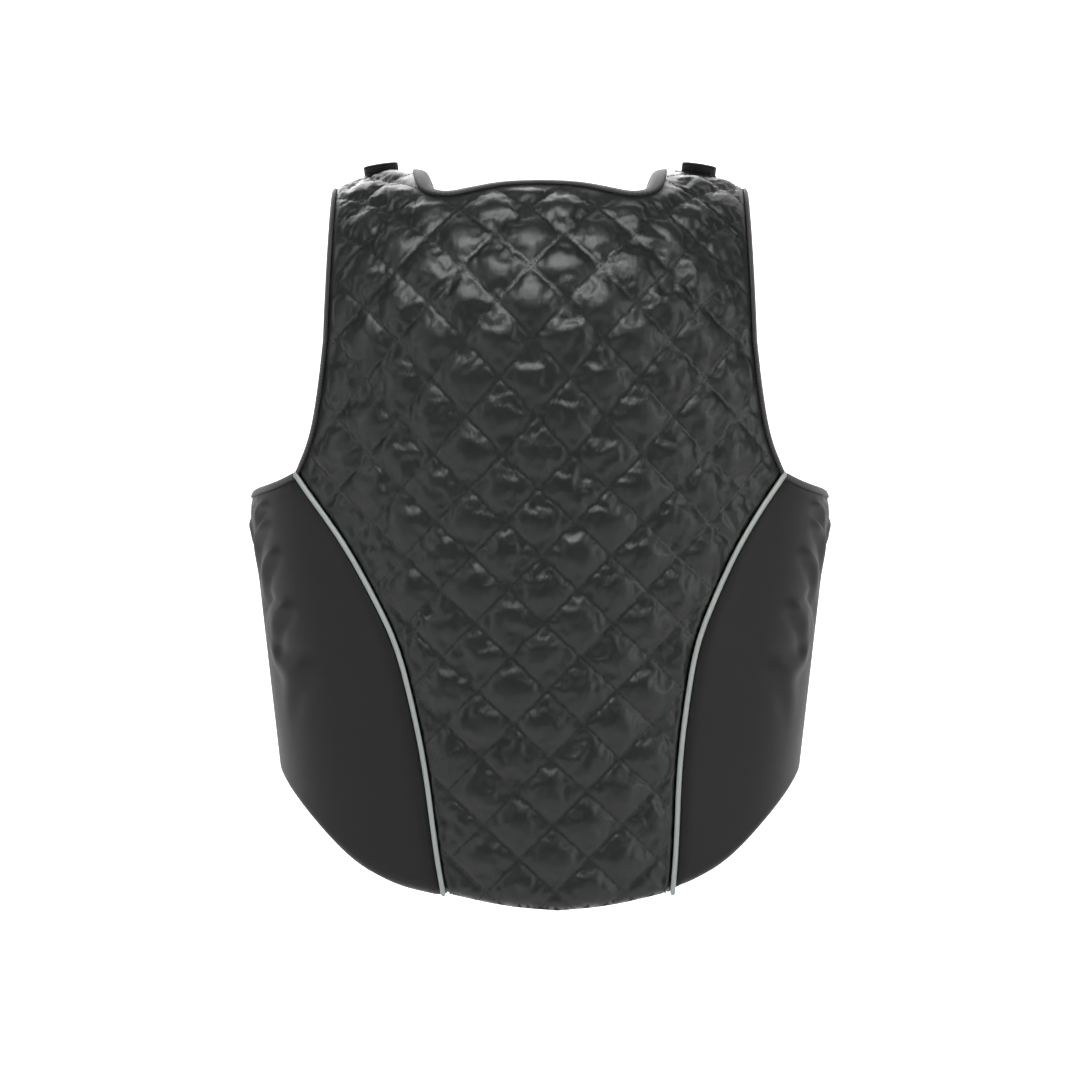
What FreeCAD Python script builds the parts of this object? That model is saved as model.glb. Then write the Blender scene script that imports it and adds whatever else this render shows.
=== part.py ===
import FreeCAD, Part
import math
import os

# Padded body protector vest: a quilted back half that hangs on the shoulders, and two front halves
# that close with a zip and swing about the side seams. Millimetres, +Z up, the wearer faces -Y.
# The origin is midway between the shoulder rests, level with the top of the inner surface.

doc = FreeCAD.newDocument("BodyProtector")
sizes = doc.addObject("Spreadsheet::Sheet", "Sizes")

drivingSizes = [
    # the form: elliptical sections, narrowing to the hem and rounding over into the shoulders
    ("chestHalfWidth", 219.0), ("chestLevel", -233.0),
    ("bottomHalfWidth", 181.4), ("bottomLevel", -560.0), ("bottomHalfDepth", 116.2),
    ("yokeHalfWidth", 205.0), ("yokeHalfDepth", 134.0), ("yokeLevel", -115.0),
    ("domeHeight", 133.0), ("shoulderSquareness", 0.35), ("crestThinning", 0.65), ("domeArc", 210.0),
    ("arcRadius", 150.0),
    # layers, as depths below the outer face (negative is outside it)
    ("faceDepth", 0.0), ("shellDepth", 1.2), ("foamTopDepth", 1.5), ("foamBottomDepth", 16.5),
    ("liningTopDepth", 16.8), ("liningDepth", 18.0),
    ("bindingOutDepth", -0.8), ("bindingInDepth", 18.8), ("pipingOutDepth", -2.5), ("pipingInDepth", 0.7),
    ("patchTopDepth", -1.9), ("patchBottomDepth", -0.4),
    ("hookTopDepth", -3.5), ("hookBottomDepth", -2.2),
    ("strapTopDepth", -6.2), ("strapBottomDepth", -4.4),
    ("labelTopDepth", 21.5), ("labelDepth", 22.1), ("loopTopDepth", 22.6), ("loopDepth", 23.8),
    # the division into back and front
    ("halfGap", 0.15),
    ("shoulderEnd", -35.0), ("shoulderGap", 4.0),
    # edges
    ("neckHalfWidth", 87.0), ("neckBackLevel", 6.0), ("neckDip", 10.0), ("neckFrontLevel", -113.0),
    ("armholeLevel", -225.0), ("shoulderHalfWidth", 160.0), ("frontChestHalfWidth", 154.0),
    ("hemLevel", -534.0), ("hemSideLevel", -442.0), ("hemSideHalfWidth", 195.0), ("frontHemLevel", -462.0),
    ("bindingWidth", 1.2), ("seamGap", 0.3), ("pipingHalfWidth", 2.0), ("foamSeamGap", 1.2),
    ("zipHalfOpening", 10.0),
    # zip
    ("zipTopLevel", -117.0), ("zipBottomLevel", -458.0), ("coilInner", 0.8), ("coilWidth", 2.4),
    ("coilFront", -0.4), ("coilThickness", 2.2),
    ("tapeWidth", 8.9), ("tapeFront", -2.9), ("tapeThickness", 0.9),
    ("sliderWidth", 11.0), ("sliderLength", 14.0), ("sliderPlate", 1.4), ("sliderFront", -0.1),
    ("sliderBack", -4.1), ("postWidth", 1.0), ("postLength", 3.5), ("otherSideDrop", 1.0),
    ("lugWidth", 1.2), ("lugSpread", 3.1), ("pinRadius", 0.8), ("pinStandOff", 2.3),
    ("pullerWidth", 3.6), ("pullerLength", 26.0), ("pullerThickness", 1.4), ("pullerEyeRadius", 1.1),
    ("pullerEyeOuter", 1.9), ("pullerTabWidth", 9.0), ("pullerTabStart", 8.0),
    ("stopLength", 4.0), ("boxLength", 9.0), ("boxHalfGap", 0.5), ("boxWidth", 6.0),
    # shoulder straps
    ("strapMiddle", 117.5), ("strapWidth", 25.0), ("strapFold", -60.0), ("strapSewnEnd", -76.0),
    ("strapFreeEnd", 3.0), ("strapFoldGap", 0.4), ("patchMargin", 3.0), ("patchFront", -33.0),
    ("patchBack", -4.0), ("hookMargin", 1.5), ("hookFront", -31.0), ("hookBack", -5.0),
    # trim inside the neck
    ("labelHalfWidth", 19.0), ("labelTop", -58.0), ("labelHeight", 34.0),
    ("loopLevel", -22.0), ("loopOuterRadius", 30.0), ("loopTapeWidth", 6.0),
]
for row, (alias, number) in enumerate(drivingSizes, start=1):
    sizes.set("A%d" % row, alias)
    sizes.set("B%d" % row, str(number))
    sizes.setAlias("B%d" % row, alias)
doc.recompute()


def value(alias):
    return float(sizes.get(alias))


def bind(target, **expressions):
    # ties properties to formulas over the sheet; a double underscore stands for a dot
    for path, formula in expressions.items():
        target.setExpression(path.replace("__", "."), formula)


# the torso form

yokeLevel = value("yokeLevel")
bottomLevel = value("bottomLevel")


def between(low, high, share):
    return low + (high - low) * share


def halfDepthAt(level):
    # half depth of the outer face, front to back, up to the yoke
    share = (level - bottomLevel) / (yokeLevel - bottomLevel)
    return between(value("bottomHalfDepth"), value("yokeHalfDepth"), share)


def halfWidthAt(level):
    chestLevel = value("chestLevel")
    if level < chestLevel:
        share = (level - bottomLevel) / (chestLevel - bottomLevel)
        return between(value("bottomHalfWidth"), value("chestHalfWidth"), share)
    share = (level - chestLevel) / (yokeLevel - chestLevel)
    return between(value("chestHalfWidth"), value("yokeHalfWidth"), share * share)


def domeSection(angle, depth):
    # half width, half depth and height of the dome's section at an angle from 0 (yoke) to 90 degrees (crest)
    sine = math.sin(angle)
    cosine = math.cos(angle)
    halfWidth = value("yokeHalfWidth") * cosine ** value("shoulderSquareness")
    halfWidth -= depth * (1 - value("crestThinning") * sine)
    halfDepth = (value("yokeHalfDepth") - depth) * cosine
    return halfWidth, halfDepth, yokeLevel + (value("domeHeight") - depth) * sine


def domeHeightAt(x, y, depth):
    # height of the dome over a point of the plan, by halving the section's angle
    low = 0.0
    high = math.pi / 2
    for step in range(40):
        angle = (low + high) / 2
        halfWidth, halfDepth, level = domeSection(angle, depth)
        inside = halfWidth > 0 and halfDepth > 0 and (x / halfWidth) ** 2 + (y / halfDepth) ** 2 < 1
        if inside:
            low = angle
        else:
            high = angle
    return domeSection(low, depth)[2]


# A place on the form is (x, rise): below the yoke, rise is the height from the yoke, and above it
# rise follows the curve over the shoulder, a quarter turn for each domeArc. Deeper layers keep the
# same share of the half width, so the edges of all the layers line up.
domeArc = value("domeArc")
arcRadius = value("arcRadius")


def anglePoint(angle, rise, depth, facing):
    # the same place given by its angle round the body, as seen from above; facing is 1 on the back
    # and -1 on the front
    level = yokeLevel + min(rise, 0.0)
    x = (halfWidthAt(level) - depth) * math.sin(angle)
    y = (halfDepthAt(level) - depth) * math.cos(angle)
    if rise > 0:
        y *= math.cos(rise / domeArc * math.pi / 2)
        level = domeHeightAt(x, y, depth)
    return FreeCAD.Vector(x, facing * y, level)


def arcPoint(arc, rise, depth, facing):
    # the same place given by its distance round the body from the middle line
    return anglePoint(arc / arcRadius, rise, depth, facing)


def angleAt(x, rise):
    return math.asin(max(-1.0, min(1.0, x / halfWidthAt(yokeLevel + min(rise, 0.0)))))


def formPoint(x, rise, depth, facing):
    return anglePoint(angleAt(x, rise), rise, depth, facing)


def yokeReach(x):
    # y of the outer face at the yoke level
    return value("yokeHalfDepth") * math.cos(angleAt(x, 0.0))


def riseAtY(x, y):
    return math.acos(y / yokeReach(x)) / (math.pi / 2) * domeArc


def riseAtLevel(x, level):
    # rise of the outer face at a height, on the near side of the crest
    if level <= yokeLevel:
        return level - yokeLevel
    low = 0.0
    high = domeArc
    for step in range(40):
        rise = (low + high) / 2
        if formPoint(x, rise, 0.0, 1).z < level:
            low = rise
        else:
            high = rise
    return low


def onForm(points):
    # (x, level) to (x, rise)
    return [(x, riseAtLevel(x, level)) for x, level in points]


# curved sheets with a thickness

def knotsFor(count, degree):
    inner = count - degree
    multiplicities = [degree + 1] + [1] * (inner - 1) + [degree + 1]
    return multiplicities, [float(step) for step in range(inner + 1)]


def polesToFace(poles):
    degrees = [min(2, len(poles) - 1), min(2, len(poles[0]) - 1)]
    multsU, knotsU = knotsFor(len(poles), degrees[0])
    multsV, knotsV = knotsFor(len(poles[0]), degrees[1])
    surface = Part.BSplineSurface()
    surface.buildFromPolesMultsKnots(poles, multsU, multsV, knotsU, knotsV, False, False, *degrees)
    return surface.toShape()


def resampled(points, count):
    # the same line of points at equal steps along its length
    lengths = [0.0]
    for before, after in zip(points, points[1:]):
        lengths.append(lengths[-1] + math.hypot(after[0] - before[0], after[1] - before[1]))
    result = []
    for step in range(count):
        target = lengths[-1] * step / (count - 1)
        index = 0
        while index < len(points) - 2 and lengths[index + 1] < target:
            index += 1
        share = (target - lengths[index]) / (lengths[index + 1] - lengths[index])
        result.append((between(points[index][0], points[index + 1][0], share),
                       between(points[index][1], points[index + 1][1], share)))
    return result


def patch(lower, upper, inner, outer, acrossCount, upCount):
    # a grid of (x, rise) filled in from its four edges; lower and upper run outwards, inner and outer upwards
    lower = resampled(lower, acrossCount)
    upper = resampled(upper, acrossCount)
    inner = resampled(inner, upCount)
    outer = resampled(outer, upCount)
    grid = []
    for column in range(acrossCount):
        u = column / (acrossCount - 1)
        line = []
        for row in range(upCount):
            v = row / (upCount - 1)
            place = []
            for axis in (0, 1):
                edges = (between(lower[column][axis], upper[column][axis], v)
                         + between(inner[row][axis], outer[row][axis], u))
                corners = between(between(lower[0][axis], lower[-1][axis], u),
                                  between(upper[0][axis], upper[-1][axis], u), v)
                place.append(edges - corners)
            line.append(tuple(place))
        grid.append(line)
    return grid


def mirroredGrid(grid):
    return [[(-x, rise) for x, rise in line] for line in grid]


def edgesOf(grid):
    return [grid[0], grid[-1], [line[0] for line in grid], [line[-1] for line in grid]]


def sheetSolid(grids, outDepth, inDepth, facing, place=formPoint):
    # one solid from neighbouring grids: their outer faces, inner faces and the walls round the free edges
    faces = []
    uses = {}
    for grid in grids:
        for depth in (outDepth, inDepth):
            faces.append(polesToFace([[place(x, rise, depth, facing) for x, rise in line] for line in grid]))
        for edge in edgesOf(grid):
            key = tuple(sorted((round(x, 3), round(rise, 3)) for x, rise in (edge[0], edge[-1])))
            uses.setdefault(key, []).append(edge)
    for edges in uses.values():
        if len(edges) == 1:
            wall = [[place(x, rise, depth, facing) for x, rise in edges[0]] for depth in (outDepth, inDepth)]
            faces.append(polesToFace(wall))
    shell = Part.Shell(faces)
    shell.sewShape()
    solid = Part.Solid(shell if shell.ShapeType == "Shell" else shell.Shells[0])
    if solid.Volume < 0:
        solid.reverse()
    return solid


nodes = []


def node(label, solid):
    piece = doc.addObject("Part::Feature", label)
    piece.Label = label
    piece.Shape = solid
    piece.Placement = FreeCAD.Placement()
    nodes.append(piece)
    return piece


def shifted(points, distance):
    # the same line moved sideways by a distance, to the right of its direction
    moved = []
    for index, (x, rise) in enumerate(points):
        before = points[max(index - 1, 0)]
        after = points[min(index + 1, len(points) - 1)]
        step = distance / math.hypot(after[0] - before[0], after[1] - before[1])
        moved.append((x + step * (after[1] - before[1]), rise - step * (after[0] - before[0])))
    return moved


def shortened(points, distance):
    # the same line with its last point drawn back along it
    (x, rise), (lastX, lastRise) = points[-2:]
    share = 1 - distance / math.hypot(lastX - x, lastRise - rise)
    return points[:-1] + [(between(x, lastX, share), between(rise, lastRise, share))]


def flipped(points):
    return [(-x, rise) for x, rise in points]


def rim(edges, gap, width):
    # narrow grids beside panel edges that follow one another, at a gap from them
    line = edges[0] + [point for edge in edges[1:] for point in edge[1:]]
    near = shifted(line, gap)
    far = shifted(line, gap + width)
    grids = []
    start = 0
    for edge in edges:
        stop = start + len(edge)
        grids.append([near[start:stop], far[start:stop]])
        start = stop - 1
    return grids


# edges and seams, as (x, level)

sides = (("left", 1), ("right", -1))
armholeLevel = value("armholeLevel")
shoulderX = value("shoulderHalfWidth")
chestX = value("frontChestHalfWidth")
neckX = value("neckHalfWidth")
neckBack = value("neckBackLevel")
neckFront = value("neckFrontLevel")
dipLevel = neckBack - value("neckDip")
zipX = value("zipHalfOpening")
hem = value("hemLevel")
hemSide = value("hemSideLevel")
hemSideX = value("hemSideHalfWidth")
frontHem = value("frontHemLevel")
shoulderEnd = value("shoulderEnd")
frontShoulderEnd = value("shoulderGap") - shoulderEnd
bindingEdge = value("bindingWidth")
seamGap = value("seamGap")
inset = bindingEdge + seamGap
foamInset = inset + 3 * seamGap
seamAway = value("pipingHalfWidth") + seamGap
foamAway = value("foamSeamGap")

# half hems, from the middle outwards
backHem = [(0, hem), (40, hem + 3), (75, hem + 10), (114, hem + 17), (146, hem + 35),
           (hemSideX - 12, hemSide - 18), (hemSideX, hemSide)]
frontHemLine = [(zipX, frontHem), (60, frontHem + 1), (120, frontHem + 7), (hemSideX, hemSide)]

# the curved seams, from the hem up to the armhole, where the piping runs
backSeam = [(84, hem + 12), (88, hem + 43), (93, hem + 105), (101, hem + 154), (110, hem + 195),
            (126, hem + 231), (148, hem + 273), (183, hem + 322)]
frontSeam = [(113, frontHem + 6), (114, -430), (121, -370), (134, -310), (154, -256), (182, -202)]

# armholes, from the seam's end over the shoulder, and from the side seam to the seam's end
backArmholeUpper = [(183, hem + 322), (172, -187), (166, -152), (shoulderX + 2, -115)]
backArmholeLower = [(219, armholeLevel), (207, armholeLevel + 3), (195, armholeLevel + 7), (183, hem + 322)]
frontArmholeUpper = [(182, -202), (170, -178), (160, -145), (chestX + 2, -115)]
frontArmholeLower = [(219, armholeLevel), (207, armholeLevel + 4), (195, armholeLevel + 12), (182, -202)]


def shoulderArmhole(startX, waistX, endY):
    # above the yoke, along the outer edge of the shoulder to its end
    end = riseAtY(shoulderX, endY)
    line = []
    for share in (0.0, 0.25, 0.5, 0.75, 1.0):
        x = startX + (shoulderX - startX) * share - waistX * math.sin(math.pi * share)
        line.append((x, end * share))
    return line


backShoulderEdge = shoulderArmhole(shoulderX + 2, 2.0, shoulderEnd)
frontShoulderEdge = shoulderArmhole(chestX + 2, 1.0, frontShoulderEnd)

# the back neckline, from the middle, dipping before it turns up and over to the shoulder's end
backNeck = onForm([(0, neckBack), (28, neckBack - 1), (52, dipLevel + 4), (70, dipLevel),
                   (neckX - 4, dipLevel + 4)])
backNeck += [(neckX, domeArc * 0.92), (neckX, riseAtY(neckX, shoulderEnd))]
frontNeck = onForm([(zipX, neckFront), (38, neckFront + 5), (62, neckFront + 26), (78, neckFront + 55)])
frontNeck += [(neckX, domeArc * 0.62), (neckX, riseAtY(neckX, frontShoulderEnd))]


def halfGrids(hemLine, middleX, middleTop, seam, armUpper, shoulderEdge, neck, endY, away, edge):
    # the three fields of a half panel: up to the armhole, up to the yoke corner, and the shoulder
    seam = shortened(shifted(onForm(seam), -away), edge)
    armUpper = shifted(onForm(armUpper), -edge)
    armUpper[0] = seam[-1]
    shoulderEdge = shifted(shoulderEdge, -edge)
    shoulderEdge[0] = armUpper[-1]
    neck = shifted(neck, edge)
    neck[0] = (middleX, middleTop)
    hemLine = [point for point in onForm(hemLine) if point[0] < seam[0][0] - 2] + [seam[0]]
    waist = [(middleX, seam[-1][1]), seam[-1]]
    low = patch(hemLine, waist, [(middleX, hemLine[0][1]), waist[0]], seam, 6, 8)
    chest = [(middleX, middleTop), armUpper[-1]]
    middle = patch(waist, chest, [waist[0], chest[0]], armUpper, 6, 6)
    endX = between(neck[-1][0], shoulderEdge[-1][0], 0.5)
    endEdge = [neck[-1], (endX, riseAtY(endX, endY)), shoulderEdge[-1]]
    high = patch(chest, endEdge, neck, shoulderEdge, 6, 9)
    return [low, middle, high]


def aroundBody(points):
    # (x, rise) to (arc, rise)
    return [(angleAt(x, rise) * arcRadius, rise) for x, rise in points]


sideArc = (math.pi / 2 - value("halfGap") / value("yokeHalfDepth")) * arcRadius


def sideGrid(hemLine, seam, armLower, away, edge):
    # the panel between the curved seam and the side seam
    seam = shortened(shifted(onForm(seam), away), edge)
    arm = list(reversed(shifted(onForm(armLower), -edge)))
    arm[0] = seam[-1]
    hemLine = [seam[0]] + [point for point in onForm(hemLine) if point[0] > seam[0][0] + 4]
    seam = aroundBody(seam)
    arm = aroundBody(arm)
    hemLine = aroundBody(hemLine)
    arm[-1] = (sideArc, arm[-1][1])
    hemLine[-1] = (sideArc, hemLine[-1][1])
    return patch(hemLine, arm, seam, [hemLine[-1], arm[-1]], 6, 8)


def turned(grids, side):
    # left as they are for the left side, mirrored for the right
    return grids if side > 0 else [mirroredGrid(grid) for grid in grids]


def bothHalves(grids):
    return grids + turned(grids, -1)


# back half

shellDepths = (value("faceDepth"), value("shellDepth"))
foamDepths = (value("foamTopDepth"), value("foamBottomDepth"))
liningDepths = (value("liningTopDepth"), value("liningDepth"))
bindingDepths = (value("bindingOutDepth"), value("bindingInDepth"))
pipingDepths = (value("pipingOutDepth"), value("pipingInDepth"))
backTop = backNeck[0][1] - inset


def backHalf(away, edge):
    return halfGrids(backHem, 0.0, backTop, backSeam, backArmholeUpper, backShoulderEdge, backNeck,
                     shoulderEnd, away, edge)


node("back_quilted_shell", sheetSolid(bothHalves(backHalf(seamAway, inset)), *shellDepths, 1))
node("back_foam_core", sheetSolid(bothHalves(backHalf(foamAway, foamInset)), *foamDepths, 1))
node("back_lining", sheetSolid(bothHalves(backHalf(foamAway, foamInset)), *liningDepths, 1))
neckEdge = backHalf(seamAway, inset)[2][0]
neckRims = rim([list(reversed(flipped(neckEdge))), neckEdge], -seamGap, -bindingEdge)
node("back_neck_binding", sheetSolid(neckRims, *bindingDepths, 1))


def sideParts(prefix, facing, half, hemLine, seam, armLower):
    # the side panels, piping and armhole bindings of one half of the vest
    low, middle, high = half(seamAway, inset)
    panel = sideGrid(hemLine, seam, armLower, seamAway, inset)
    band = [shifted(aroundBody(low[-1]), seamGap), shifted(panel[0], -seamGap)]
    for line in band:
        line[-1] = (between(line[-2][0], line[-1][0], 0.93), between(line[-2][1], line[-1][1], 0.93))
    lower = [line[-1] for line in reversed(panel)]
    upper = aroundBody(middle[-1])
    rims = rim([lower, [lower[-1], upper[0]], upper, aroundBody(high[-1])], seamGap, bindingEdge)
    for line in rims[0]:
        line[0] = (sideArc, line[0][1])
    for name, side in sides:
        for part, depths, away, edge in (("side_shell", shellDepths, seamAway, inset),
                                         ("side_foam", foamDepths, foamAway, foamInset),
                                         ("side_lining", liningDepths, foamAway, foamInset)):
            grid = turned([sideGrid(hemLine, seam, armLower, away, edge)], side)
            node(prefix + "_" + part + "_" + name, sheetSolid(grid, *depths, facing, arcPoint))
        node(prefix + "_piping_" + name, sheetSolid(turned([band], side), *pipingDepths, facing, arcPoint))
        binding = sheetSolid(turned(rims, side), *bindingDepths, facing, arcPoint)
        node(prefix + "_armhole_binding_" + name, binding)


sideParts("back", 1, backHalf, backHem, backSeam, backArmholeLower)

# front halves


def frontHalf(away, edge):
    return halfGrids(frontHemLine, zipX, frontNeck[0][1] - inset, frontSeam, frontArmholeUpper,
                     frontShoulderEdge, frontNeck, frontShoulderEnd, away, edge)


frontNeckRims = rim([frontHalf(seamAway, inset)[2][0]], -seamGap, -bindingEdge)
for line in frontNeckRims[0]:
    line[0] = (zipX, line[0][1])
for name, side in sides:
    outerGrids = turned(frontHalf(seamAway, inset), side)
    innerGrids = turned(frontHalf(foamAway, foamInset), side)
    node("front_quilted_shell_" + name, sheetSolid(outerGrids, *shellDepths, -1))
    node("front_foam_core_" + name, sheetSolid(innerGrids, *foamDepths, -1))
    node("front_lining_" + name, sheetSolid(innerGrids, *liningDepths, -1))
    node("front_neck_binding_" + name, sheetSolid(turned(frontNeckRims, side), *bindingDepths, -1))
sideParts("front", -1, frontHalf, frontHemLine, frontSeam, frontArmholeLower)

# shoulder straps and their patches


def strapGrid(side, halfWidth, frontY, backY, rows):
    # a block over the shoulder, from one y to another, centred on the strap
    middle = side * value("strapMiddle")
    grid = []
    for share in (0.0, 0.5, 1.0):
        x = middle + halfWidth * (2 * share - 1)
        grid.append([(x, riseAtY(x, between(backY, frontY, row / (rows - 1)))) for row in range(rows)])
    return grid


for name, side in sides:
    half = value("strapWidth") / 2
    patchShape = strapGrid(side, half + value("patchMargin"), value("patchFront"), value("patchBack"), 4)
    hookShape = strapGrid(side, half - value("hookMargin"), value("hookFront"), value("hookBack"), 4)
    strapShape = strapGrid(side, half, value("strapFold") + value("strapFoldGap"), value("strapFreeEnd"), 6)
    baseShape = strapGrid(side, half, value("strapSewnEnd"), value("strapFold"), 3)
    patchDepths = (value("patchTopDepth"), value("patchBottomDepth"))
    hookDepths = (value("hookTopDepth"), value("hookBottomDepth"))
    strapDepths = (value("strapTopDepth"), value("strapBottomDepth"))
    node("shoulder_patch_" + name, sheetSolid([patchShape], *patchDepths, 1))
    node("hook_pad_" + name, sheetSolid([hookShape], *hookDepths, 1))
    node("shoulder_strap_" + name, sheetSolid([strapShape], *strapDepths, 1))
    node("strap_base_" + name, sheetSolid([baseShape], strapDepths[0], patchDepths[1], 1))

# trim inside the neck

labelX = value("labelHalfWidth")
labelTop = value("labelTop")
labelGrid = [onForm([(x, labelTop - value("labelHeight") * (1 - share)) for share in (0.0, 0.5, 1.0)])
             for x in (-labelX, 0.0, labelX)]
node("care_label", sheetSolid([labelGrid], value("labelTopDepth"), value("labelDepth"), 1))

loopLevel = value("loopLevel")
loopLines = []
for radius in (value("loopOuterRadius"), value("loopOuterRadius") - value("loopTapeWidth")):
    angles = [math.pi * step / 8 for step in range(9)]
    loopLines.append(onForm([(-radius * math.cos(turn), loopLevel - radius * math.sin(turn)) for turn in angles]))
node("hanger_loop", sheetSolid([loopLines], value("loopTopDepth"), value("loopDepth"), 1))

# zip, laid along the straight front edge

frontRise = value("yokeLevel") - value("bottomLevel")
frontLean = math.degrees(math.atan2(value("yokeHalfDepth") - value("bottomHalfDepth"), frontRise))


def zipPlacement(level):
    # a frame on the outer face at the middle of the front: X across, Z up the zip, -Y outwards
    share = (level - value("bottomLevel")) / frontRise
    depth = value("bottomHalfDepth") + (value("yokeHalfDepth") - value("bottomHalfDepth")) * share
    turn = FreeCAD.Rotation(FreeCAD.Vector(1, 0, 0), frontLean)
    return FreeCAD.Placement(FreeCAD.Vector(0, -depth, level), turn)


def zipBlock(name, level, x, width, front, thickness, height, rise="0"):
    # a block whose front face stands at a distance outside the face of the front
    block = doc.addObject("Part::Box", name)
    place = zipPlacement(level)
    block.Placement = place
    cosine = "cos(%.6f deg)" % frontLean
    sine = "sin(%.6f deg)" % frontLean
    bind(block, Length=width, Width=thickness, Height=height, Placement__Base__x=x,
         Placement__Base__y="%.6f - (%s) * %s - (%s) * %s" % (place.Base.y, front, cosine, rise, sine),
         Placement__Base__z="%.6f - (%s) * %s + (%s) * %s" % (place.Base.z, front, sine, rise, cosine))
    return block


def solo(label, shape):
    shape.Label = label
    nodes.append(shape)
    return shape


def joined(label, shapes):
    # pieces of one solid
    whole = doc.addObject("Part::MultiFuse", label)
    whole.Label = label
    whole.Shapes = shapes
    nodes.append(whole)
    return whole


zipBottom = value("zipBottomLevel")
zipLength = "(Sizes.zipTopLevel - Sizes.zipBottomLevel)"
coilSection = ("Sizes.coilWidth", "Sizes.coilFront", "Sizes.coilThickness")
drops = {"left": "0", "right": "(Sizes.sliderLength + Sizes.otherSideDrop + Sizes.stopLength)"}
for name, side in sides:
    start = "Sizes.boxLength"
    coilX = "Sizes.coilInner" if side > 0 else "-Sizes.coilInner - Sizes.coilWidth"
    tapeX = "Sizes.coilInner" if side > 0 else "-Sizes.coilInner - Sizes.tapeWidth"
    coilHeight = "%s - %s - %s - Sizes.stopLength - 0.4" % (zipLength, drops[name], start)
    coil = zipBlock("coil" + name, zipBottom, coilX, *coilSection, coilHeight, start + " + 0.2")
    tape = zipBlock("tape" + name, zipBottom, tapeX, "Sizes.tapeWidth", "Sizes.tapeFront",
                    "Sizes.tapeThickness", "%s - %s" % (zipLength, drops[name]))
    stop = zipBlock("stop" + name, zipBottom, coilX, *coilSection, "Sizes.stopLength",
                    "%s - %s - Sizes.stopLength" % (zipLength, drops[name]))
    solo("zip_coil_" + name, coil)
    solo("zip_tape_" + name, tape)
    solo("zip_top_stop_" + name, stop)

pin = zipBlock("insertionPin", zipBottom, "Sizes.coilInner", *coilSection, "Sizes.boxLength")
solo("zip_insertion_pin", pin)
retainer = zipBlock("retainerBox", zipBottom, "-Sizes.boxHalfGap - Sizes.boxWidth", "Sizes.boxWidth",
                    "Sizes.coilFront + 0.6", "Sizes.coilThickness + 0.7", "Sizes.boxLength")
solo("zip_retainer_box", retainer)

# the slider stands at the top of the zip, above the end of the right-hand coil
sliderRise = "%s - Sizes.sliderLength - Sizes.stopLength - 0.3" % zipLength
sliderLeft = "-Sizes.sliderWidth / 2"
frontPlate = zipBlock("sliderFrontPlate", zipBottom, sliderLeft, "Sizes.sliderWidth",
                      "Sizes.sliderFront + Sizes.sliderPlate", "Sizes.sliderPlate", "Sizes.sliderLength", sliderRise)
backPlate = zipBlock("sliderBackPlate", zipBottom, sliderLeft, "Sizes.sliderWidth", "Sizes.sliderBack",
                     "Sizes.sliderPlate", "Sizes.sliderLength", sliderRise)
post = zipBlock("sliderPost", zipBottom, "-Sizes.postWidth / 2", "Sizes.postWidth", "Sizes.sliderFront + 0.5",
                "Sizes.sliderFront - Sizes.sliderBack + 1", "Sizes.postLength",
                sliderRise + " + Sizes.sliderLength - Sizes.postLength")
pinRise = sliderRise + " + Sizes.sliderLength * 0.6"
pinOut = "Sizes.sliderFront + Sizes.sliderPlate + Sizes.pinStandOff"
lugs = []
for index, side in enumerate((1, -1)):
    x = "%d * Sizes.lugSpread - Sizes.lugWidth / 2" % side
    lugs.append(zipBlock("sliderLug%d" % index, zipBottom, x, "Sizes.lugWidth",
                         pinOut + " + Sizes.pinRadius + 0.5", "Sizes.pinStandOff + Sizes.pinRadius + 1",
                         "2 * Sizes.pinRadius + 1.4", "%s - Sizes.pinRadius - 0.7" % pinRise))
sheetPinOut = value("sliderFront") + value("sliderPlate") + value("pinStandOff")
sheetPinRise = (value("zipTopLevel") - zipBottom - value("sliderLength") - value("stopLength") - 0.3
                + value("sliderLength") * 0.6)
lean = math.radians(frontLean)
zipBase = zipPlacement(zipBottom).Base
pinPoint = FreeCAD.Vector(0, zipBase.y - sheetPinOut * math.cos(lean) - sheetPinRise * math.sin(lean),
                          zipBase.z - sheetPinOut * math.sin(lean) + sheetPinRise * math.cos(lean))
acrossX = FreeCAD.Rotation(FreeCAD.Vector(0, 1, 0), 90)
sliderPin = doc.addObject("Part::Cylinder", "sliderPin")
sliderPin.Placement = FreeCAD.Placement(pinPoint, acrossX)
bind(sliderPin, Radius="Sizes.pinRadius", Height="2 * Sizes.lugSpread", Placement__Base__x="-Sizes.lugSpread")
joined("zip_slider", [frontPlate, backPlate, post] + lugs + [sliderPin])

# the puller hangs plumb from the pin: an eye, a neck and a wider tab
eye = doc.addObject("Part::Cylinder", "pullerEye")
eye.Placement = FreeCAD.Placement(pinPoint, acrossX)
bind(eye, Radius="Sizes.pullerEyeOuter", Height="Sizes.pullerWidth",
     Placement__Base__x="-Sizes.pullerWidth / 2")
pullerBack = "%.6f - Sizes.pullerThickness / 2" % pinPoint.y
pullerFoot = "%.6f - Sizes.pullerLength" % pinPoint.z
neck = doc.addObject("Part::Box", "pullerNeck")
neck.Placement.Base = pinPoint
bind(neck, Length="Sizes.pullerWidth", Width="Sizes.pullerThickness", Height="Sizes.pullerLength",
     Placement__Base__x="-Sizes.pullerWidth / 2", Placement__Base__y=pullerBack,
     Placement__Base__z=pullerFoot)
tab = doc.addObject("Part::Box", "pullerTab")
bind(tab, Length="Sizes.pullerTabWidth", Width="Sizes.pullerThickness",
     Height="Sizes.pullerLength - Sizes.pullerTabStart", Placement__Base__x="-Sizes.pullerTabWidth / 2",
     Placement__Base__y=pullerBack, Placement__Base__z=pullerFoot)
blank = doc.addObject("Part::MultiFuse", "pullerBlank")
blank.Shapes = [eye, neck, tab]
hole = doc.addObject("Part::Cylinder", "pullerHole")
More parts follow.
